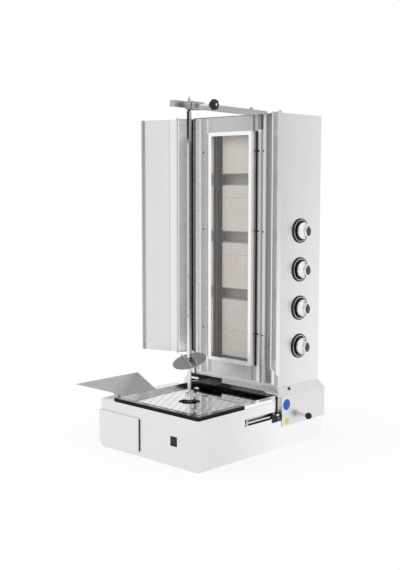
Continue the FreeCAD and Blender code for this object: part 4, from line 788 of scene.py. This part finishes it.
def makeDisc():
    pivot = jointNamed("skewer_spin")["pos_m"]
    seat = Vector((pivot[0], pivot[1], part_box("skewer_disc")[0].z + disc["halfDrop"] * mm))
    work = bmesh.new()
    half = disc["thick"] / 2
    rings = []
    for level, outer in ((half, False), (half, True), (-half, True), (-half, False)):
        ring = []
        for step in range(disc["sides"]):
            angle = 2 * math.pi * (step + 0.5) / disc["sides"]
            across = math.cos(angle)
            back = math.sin(angle)
            reach = disc["radius"] if outer else disc["hole"] / max(abs(across), abs(back))
            ring.append(work.verts.new((across * reach, back * reach, level)))
        rings.append(ring)
    walled(work, rings + rings[:1])
    run = math.sqrt(disc["radius"] ** 2 - disc["ribApart"] ** 2) - 1.5
    tall = disc["ribHigh"]
    profile = [(-run, half * 0.6), (-run, tall * 0.5), (-run + 1.4, tall * 0.85),
               (-run + 4.5, tall), (run - 4.5, tall), (run - 1.4, tall * 0.85),
               (run, tall * 0.5), (run, half * 0.6)]
    turn = Matrix.Rotation(math.radians(disc["ribTurn"]), 4, "Z")
    for side in (1, -1):
        walls = [[work.verts.new(turn @ Vector((a, side * across, u))) for a, u in profile]
                 for across in (disc["ribApart"] - disc["ribThick"], disc["ribApart"])]
        capped(work, walls, 1)
        walled(work, walls, 1)
    mesh = meshFrom(work, "meatDisc", 30.0)
    mesh.transform(Matrix.Translation(seat)
                   @ Matrix.Rotation(math.radians(disc["lean"]), 4, "X")
                   @ Matrix.Scale(mm, 4))
    # The ribs are the disc's steel in a lighter tone: painted light on the ribs
    linkPiece("meatDisc", mesh, [sheetSteel("discSteel", 0.29, 0.34, "x", 0.08, 0.20),
                                 sheetSteel("ribSteel", 0.55, 0.34, "x", 0.08, 0.20)],
              "skewer", ["skewer_disc"])


makeDisc()


# Star knob, in millimetres: its profile has (distance, share of the reach) pairs
star = {"lobes": 7, "reach": 19.0, "waist": 15.2, "sides": 84, "stud": 4.0, "insertFrom": 10,
        "profile": ((64.6, 0.30), (65.0, 0.42), (70.0, 0.44), (73.4, 0.50), (73.6, 0.90),
                    (75.0, 0.98), (78.0, 1.0), (87.6, 1.0), (90.6, 0.97), (91.6, 0.90),
                    (91.7, 0.24), (91.3, 0.21), (91.3, 0.0))}


def makeStarKnob():
    joint = jointNamed("star_knob_turn")
    start = Vector(joint["pos_m"])
    axis = Vector(joint["axis"]).normalized()
    across = Vector((0, 0, 1)).cross(axis).normalized()
    up = axis.cross(across)
    work = bmesh.new()
    rings = []
    for distance, swell in star["profile"]:
        centre = start + axis * distance * mm
        depth = star["reach"] - star["waist"] if swell > 0.8 else 0.0

        def reach(angle):
            lobe = 0.5 + 0.5 * math.cos(angle * star["lobes"])
            return (star["reach"] - depth * (1 - lobe ** 0.6)) * swell * mm

        rings.append(ringAt(work, centre, across, up, reach, star["sides"]) if swell
                     else [work.verts.new(centre)])
    insert = star["insertFrom"]
    walled(work, rings[:insert + 1])
    walled(work, rings[insert:], 1)
    stud = star["stud"]
    turned(work, [(11.2, 0), (11.2, stud - 0.6), (11.8, stud), (66.0, stud), (66.0, 0)],
           start, axis, 32, 1)
    linkPiece("starKnob", meshFrom(work, "starKnob", 30.0),
              [finishes["star_plastic"], finishes["socket_steel"]], "star_knob",
              ["star_knob"])


makeStarKnob()


# Drive socket at the foot of the skewer, as (height, radius) pairs in millimetres
socket = {"profile": ((144.4, 0), (144.4, 6.4), (145.0, 7.0), (157.6, 7.0), (158.0, 13.4),
                      (159.4, 15.4), (161.0, 16.0), (205.4, 16.0), (206.0, 15.2),
                      (206.8, 15.2), (207.4, 16.0), (213.6, 16.0), (215.0, 14.6),
                      (215.0, 7.4), (214.0, 7.1), (190.0, 7.1))}


def makeSocket():
    low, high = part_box("drive_socket")
    work = bmesh.new()
    turned(work, socket["profile"], ((low.x + high.x) / 2, (low.y + high.y) / 2, 0),
           (0, 0, 1), 72)
    linkPiece("driveSocket", meshFrom(work, "driveSocket", 30.0),
              [finishes["socket_steel"]], "skewer", ["drive_socket"])


# Wing bolt, in millimetres: its ears are swept ovals that rise and lean away from the stud
wingBolt = {"profile": ((0, 0), (0, 3.2), (0.8, 3.9), (19.6, 3.9), (20, 5.4), (21, 6.2),
                        (25, 6.2), (26.6, 5.2), (27, 3.6), (27, 0)),
            "ears": 23.2, "from": 3.5, "run": 15.5, "rise": 9.0, "steps": 8, "corners": 14}


def makeWingBolt():
    pivot = jointNamed("wing_bolt_turn")["pos_m"]
    start = Vector((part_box("wing_bolt")[0].x, pivot[1], pivot[2]))
    work = bmesh.new()
    turned(work, wingBolt["profile"], start, (1, 0, 0), 40)
    for sign in (1, -1):
        rings = []
        for step in range(wingBolt["steps"] + 1):
            share = step / wingBolt["steps"]
            reach = wingBolt["from"] + wingBolt["run"] * share
            rise = wingBolt["rise"] * share ** 1.4
            wide = 5.4 - 2.2 * abs(share - 0.55)
            thick = 1.9 - 0.5 * share
            if share == 1:
                wide = wide * 0.45
                thick = thick * 0.5
            ring = []
            for corner in range(wingBolt["corners"]):
                angle = 2 * math.pi * corner / wingBolt["corners"]
                ring.append(work.verts.new(start + Vector((
                    (wingBolt["ears"] + thick * math.cos(angle)) * mm,
                    sign * (reach - wide * 0.5 * math.sin(angle) * 0.4) * mm,
                    (rise - 1.5 + wide * math.sin(angle) * 0.9) * mm))))
            rings.append(ring)
        walled(work, rings)
        capped(work, (rings[0], rings[-1]))
    linkPiece("wingBolt", meshFrom(work, "wingBolt", 40.0), [finishes["socket_steel"]],
              "wing_bolt", ["wing_bolt"])


makeSocket()
makeWingBolt()


# Locking plunger, in millimetres: bright shank and collar, black ball
plunger = {"ball": 12.5, "pin": 2.0, "rod": 4.0, "guide": 251.0, "neckFrom": 28.0,
           "collar": ((252.2, 6.9), (252.2, 9.0), (255.2, 9.0), (256.1, 8.4), (256.2, 7.0),
                      (259.0, 6.8), (259.6, 6.2), (259.6, 4.1))}


def makePlunger():
    low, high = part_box("lock_plunger")
    centre = Vector((0, (low.y + high.y) / 2, (low.z + high.z) / 2))
    start = low.x / mm
    ball = plunger["ball"]
    middle = high.x / mm - ball
    pin = plunger["pin"]
    rod = plunger["rod"]
    guide = plunger["guide"]
    work = bmesh.new()
    turned(work, [(start, 0), (start, 1.4), (start + 0.5, pin), (guide, pin), (guide, rod),
                  (middle - 14.6, rod), (middle - 14.0, 5.6), (middle - 11.6, 6.0)],
           centre, (1, 0, 0), 48, 1)
    profile = [(middle - 11.2, 5.4)]
    for step in range(24):
        angle = math.radians(plunger["neckFrom"] + (180 - plunger["neckFrom"]) * step / 24)
        profile.append((middle - ball * math.cos(angle), ball * math.sin(angle)))
    turned(work, profile + [(middle + ball, 0)], centre, (1, 0, 0), 48)
    linkPiece("lockPlunger", meshFrom(work, "lockPlunger", 40.0),
              [finishes["plunger_plastic"], finishes["collar_steel"]], "lock_plunger",
              ["lock_plunger"])
    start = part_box("plunger_collar")[0].x / mm
    work = bmesh.new()
    turned(work, ((start, 4.1), (start, 6.9)) + plunger["collar"], centre, (1, 0, 0), 48)
    linkPiece("plungerCollar", meshFrom(work, "plungerCollar", 30.0),
              [finishes["collar_steel"]], "carriage", ["plunger_collar"])


makePlunger()
print("small turned pieces done")


# Sheets that the solids leave out, in millimetres: lip, liner, plinth, tile foot, channels
sheets = {"plinthHalf": 203, "linerHalf": 236, "linerBack": 66, "tileFoot": 4,
          "channelIn": 20, "channelBack": 38, "channelFront": -84, "channelUp": 18,
          "channelDown": 7}


def sheetBoxes(name, boxes, material, body):
    work = bmesh.new()
    for low, high in boxes:
        made = bmesh.ops.create_cube(work, size=1.0)
        for vertex in made["verts"]:
            vertex.co = Vector([(low[k] + high[k]) / 2 + vertex.co[k] * (high[k] - low[k])
                                for k in range(3)]) * mm
    return linkPiece(name, meshFrom(work, name, 30.0), [material], body)


def makeSheets():
    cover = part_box("carriage_cover")
    front = cover[0].y / mm
    top = cover[1].z / mm
    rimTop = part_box("tray_pan")[1].z / mm
    sheetBoxes("archLip", [((arch["lipFrom"], front - 1.4, rimTop + 8),
                            (arch["lipTo"], front - 0.2, top - 0.4))],
               sheetSteel("lipSteel", 0.52, 0.30, "x", 0.06, 0.16), "carriage")
    low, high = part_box("footer_panel")
    half = sheets["plinthHalf"]
    sheetBoxes("towerPlinth", [((-half, high.y / mm + 0.6, top + 0.3),
                                (half, high.y / mm + 1.8, low.z / mm + 5))],
               sheetSteel("plinthSteel", 0.70, 0.30, "x", 0.06, 0.06), "carriage")
    # The arch liner is a near-black sheet: painted shade inside the arch
    half = sheets["linerHalf"]
    back = front + sheets["linerBack"]
    sheetBoxes("archLiner", [((-half, back, rimTop + 2), (half, back + 1, top - 2.4)),
                             ((-half - 1, front + 4, rimTop + 2), (-half, back, top - 2.4))],
               sheetSteel("linerShade", 0.02, 0.5, "x", 0.1, 0.1), "carriage")
    low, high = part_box("burner_tile_1")
    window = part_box("burner_guard")[0].z / mm
    sheetBoxes("tileFoot", [((low.x / mm, low.y / mm, window + 3),
                             (high.x / mm, low.y / mm + sheets["tileFoot"],
                              low.z / mm - 0.8))],
               ceramicTile("ceramicFoot", Vector((low.x, low.y, window * mm)), low, 0.5),
               "carriage")
    low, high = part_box("guide_rods")
    middle = (low.z + high.z) / 2 / mm
    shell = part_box("base_shell")[1].x / mm
    inner = shell - sheets["channelIn"]
    rear = sheets["channelBack"]
    fore = sheets["channelFront"]
    down = middle - sheets["channelDown"]
    up = middle + sheets["channelUp"]
    pale = sheetSteel("channelSteel", 0.66, 0.30, "y", 0.06, 0.08)
    for side in (1, -1):
        deep = sorted((side * (inner - 0.6), side * (inner + 0.4)))
        lips = sorted((side * inner, side * (shell - 2.2)))
        sheetBoxes("rodChannel" + ("Right" if side > 0 else "Left"), [
            ((deep[0], fore, down), (deep[1], rear, up)),
            ((lips[0], fore, up - 1), (lips[1], rear, up))], pale, "base")


# Rear end of the top arm past its pivot, in millimetres and degrees from its front end
tail = {"frontX": 60.6, "frontY": -271.3, "yaw": 9.07, "level": 1230.0, "from": 528.6,
        "to": 608.0, "half": 10.5}


def makeTail():
    half = tail["half"]
    piece = sheetBoxes("armTail", [((-half, tail["from"], -half), (half, tail["to"], half))],
                       finishes["arm_steel"], "arm")
    piece.data.transform(Matrix.Translation(Vector((tail["frontX"], tail["frontY"],
                                                    tail["level"])) * mm)
                         @ Matrix.Rotation(math.radians(tail["yaw"]), 4, "Z"))


makeSheets()
makeTail()
print("sheets added")


# Screws of the burner column, in millimetres: one head with a recess, set on every place
screw = {"radius": 3.6, "rise": 1.5, "sides": 12}


def screwHead():
    work = bmesh.new()
    r = screw["radius"]
    h = screw["rise"]
    turned(work, [(-0.2, 0), (-0.2, r), (h * 0.35, r), (h * 0.75, r * 0.82), (h, r * 0.55),
                  (h, r * 0.42), (h * 0.45, r * 0.30), (h * 0.35, 0)],
           (0, 0, 0), (0, 0, 1), screw["sides"])
    return meshFrom(work, "screwHead", 40.0)


def screwBoxes():
    # Lowest and highest corner of each loose part of the node with all the screws
    work = bmesh.new()
    work.from_mesh(nodes["tower_screws"].data)
    bmesh.ops.remove_doubles(work, verts=work.verts[:], dist=0.00001)
    boxes = []
    seen = set()
    for seed in work.verts:
        if seed.index in seen:
            continue
        island = []
        queue = [seed]
        seen.add(seed.index)
        while queue:
            vertex = queue.pop()
            island.append(vertex.co.copy())
            for edge in vertex.link_edges:
                other = edge.other_vert(vertex)
                if other.index not in seen:
                    seen.add(other.index)
                    queue.append(other)
        boxes.append([Vector([pick(p[k] for p in island) for k in range(3)])
                      for pick in (min, max)])
    work.free()
    return boxes


def makeScrews():
    points = []
    facings = []
    for low, high in screwBoxes():
        middle = (low + high) / 2
        if high.y - low.y < high.x - low.x:
            points.append((middle.x, high.y, middle.z))
            facings.append((0.0, -1.0, 0.0))
        elif middle.x > 0:
            points.append((low.x, middle.y, middle.z))
            facings.append((1.0, 0.0, 0.0))
        else:
            points.append((high.x, middle.y, middle.z))
            facings.append((-1.0, 0.0, 0.0))
    seeds = bpy.data.meshes.new("screwPlaces")
    seeds.from_pydata(points, [], [])
    layer = seeds.attributes.new("facing", "FLOAT_VECTOR", "POINT")
    for number, way in enumerate(facings):
        layer.data[number].vector = way
    head = bpy.data.objects.new("screwHead", screwHead())
    tree = PieceTree("screwRows")
    source = tree.input("Head", "Object", head)
    size = tree.input("Size", "Float", 1.0)
    metal = tree.input("Metal", "Material", finishes["screw_steel"])
    info = tree.add("GeometryNodeObjectInfo", {}, {0: source}, "Geometry")
    way = tree.add("GeometryNodeInputNamedAttribute", {"data_type": "FLOAT_VECTOR"},
                   {"Name": "facing"})
    turn = tree.add("FunctionNodeAlignRotationToVector", {"axis": "Z"}, {"Vector": way})
    scale = tree.add("ShaderNodeCombineXYZ", {}, {0: size, 1: size, 2: size})
    setOut = tree.add("GeometryNodeInstanceOnPoints", {}, {
        "Points": Field(tree, tree.entry.outputs["Geometry"]), "Instance": info,
        "Rotation": turn, "Scale": scale})
    tree.close(setOut, metal)
    mesh = tree.meshOn(seeds, "towerScrews")
    bpy.data.objects.remove(head)
    linkPiece("towerScrews", mesh, [], "carriage", ["tower_screws"])
    print("screws set:", len(points))


makeScrews()


# Two plain round stickers on the carriage's side, in millimetres: one tone, a pale rim
stickers = {"blue": {"y": 121.0, "z": 156.0, "radius": 22.5, "tone": (0.01, 0.09, 0.55)},
            "yellow": {"y": 125.0, "z": 94.0, "radius": 13.0, "tone": (0.84, 0.66, 0.05)}}


def makeSticker(name):
    middleY = stickers[name]["y"] * mm
    middleZ = stickers[name]["z"] * mm
    radius = stickers[name]["radius"]
    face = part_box("carriage_cover")[1].x + 0.02 * mm
    work = bmesh.new()
    turned(work, [(0, 0), (0, radius), (0.25, radius), (0.35, 0.985 * radius), (0.35, 0)],
           (face, middleY, middleZ), (1, 0, 0), 64)
    b = board(name + "Vinyl")
    specks = b.noise(b.place(), 300.0, 2.0, 0.5)
    y, z = b.axes("yz")
    away = ((y - middleY) ** 2 + (z - middleZ) ** 2) ** 0.5
    rim = b.spread(away, radius * 0.90 * mm, radius * 0.93 * mm, 0.0, 1.0)
    printed = b.tint((0.9 + specks * 0.2).clamped(), 0.0, stickers[name]["tone"])
    vinyl = b.finish(b.shader({"Base Color": b.tint(rim, printed, 0.86),
                               "Roughness": 0.35 + specks * 0.1}))
    linkPiece(name + "Sticker", meshFrom(work, name + "Sticker", 50.0), [vinyl], "carriage")


for name in stickers:
    makeSticker(name)
print("pieces made")


# Studio: pale floor, a white surround a little darker to the right and behind, two lamps
studio = {"around": 0.80, "right": 0.62, "rear": 0.90, "paper": (0.90, 0.94),
          "underObject": 0.82, "nearFrom": 0.45, "nearTo": 1.1}


def makeWorld():
    world = bpy.data.worlds.new("studio")
    bpy.context.scene.world = world
    b = Board(world)
    x, y = b.axes("xy", "Generated")
    seen, glossy, through = [b.add("ShaderNodeLightPath", {}, {}, "Is %s Ray" % kind)
                             for kind in ("Camera", "Glossy", "Transmission")]
    mirrored = (b.spread(x, 0.55, 0.98, 1.0, studio["right"])
                * b.spread(y, 0.2, 0.9, 1.0, studio["rear"]))
    unseen = 1.0 - (seen + glossy + through)
    strength = seen + glossy * mirrored + through + unseen * studio["around"]
    glow = b.add("ShaderNodeBackground", {}, {"Color": (1, 1, 1, 1), "Strength": strength})
    b.add("ShaderNodeOutputWorld", {}, {"Surface": glow})


def makeFloor():
    work = bmesh.new()
    bmesh.ops.create_grid(work, x_segments=2, y_segments=2, size=9.0)
    mesh = meshFrom(work, "floor")
    floor = bpy.data.objects.new("floor", mesh)
    bpy.context.scene.collection.objects.link(floor)
    b = board("floorPaper")
    grain = b.noise(b.place(), 40.0, 3.0, 0.6)
    paper = b.shader({"Base Color": b.tint(grain, *studio["paper"]), "Roughness": 0.9})
    glow = b.add("ShaderNodeEmission", {}, {"Color": (1, 1, 1, 1), "Strength": 1.0})
    camera, glossy = [b.add("ShaderNodeLightPath", {}, {}, "Is %s Ray" % kind)
                      for kind in ("Camera", "Glossy")]
    seen = (camera + glossy).clamped()
    x, y = b.axes("xy")
    near = b.spread((x * x + y * y) ** 0.5, studio["nearFrom"], studio["nearTo"],
                    studio["underObject"], 1.0)
    mixed = b.add("ShaderNodeMixShader", {}, {0: seen * near, 1: paper, 2: glow})
    mesh.materials.append(b.finish(mixed))


def makeLamp(name, place, target, size, power):
    data = bpy.data.lights.new(name, "AREA")
    data.shape = "RECTANGLE"
    data.size, data.size_y = size
    data.energy = power
    lamp = bpy.data.objects.new(name, data)
    bpy.context.scene.collection.objects.link(lamp)
    lamp.location = place
    lamp.visible_glossy = False
    lamp.rotation_euler = (Vector(target) - Vector(place)).to_track_quat("-Z", "Y").to_euler()


makeWorld()
makeFloor()
makeLamp("keyLamp", (-1.6, -2.6, 2.6), (0, 0, 0.6), (1.6, 1.6), 38.0)
makeLamp("fillLamp", (3.0, 0.4, 2.2), (0, 0, 0.6), (1.4, 1.8), 14.0)

# Camera at the photograph's angle, in metres, degrees and pixels of a picture 400 wide
view = {"place": (2.3610, -2.5251, 0.9607), "azimuth": 43.93, "elevation": -6.18,
        "focal": 938.8, "pixels": 400.0, "sensor": 36.0}


def makeCamera():
    data = bpy.data.cameras.new("camera")
    data.sensor_fit = "HORIZONTAL"
    data.sensor_width = view["sensor"]
    data.lens = view["focal"] * view["sensor"] / view["pixels"]
    data.clip_start = 0.05
    data.clip_end = 60.0
    camera = bpy.data.objects.new("camera", data)
    bpy.context.scene.collection.objects.link(camera)
    bpy.context.scene.camera = camera
    turn = math.radians(view["azimuth"])
    tilt = math.radians(view["elevation"])
    ahead = Vector((-math.sin(turn) * math.cos(tilt), math.cos(turn) * math.cos(tilt),
                    math.sin(tilt)))
    camera.location = view["place"]
    camera.rotation_mode = "QUATERNION"
    camera.rotation_quaternion = ahead.to_track_quat("-Z", "Y")


makeCamera()
bpy.context.scene.view_settings.view_transform = "Standard"
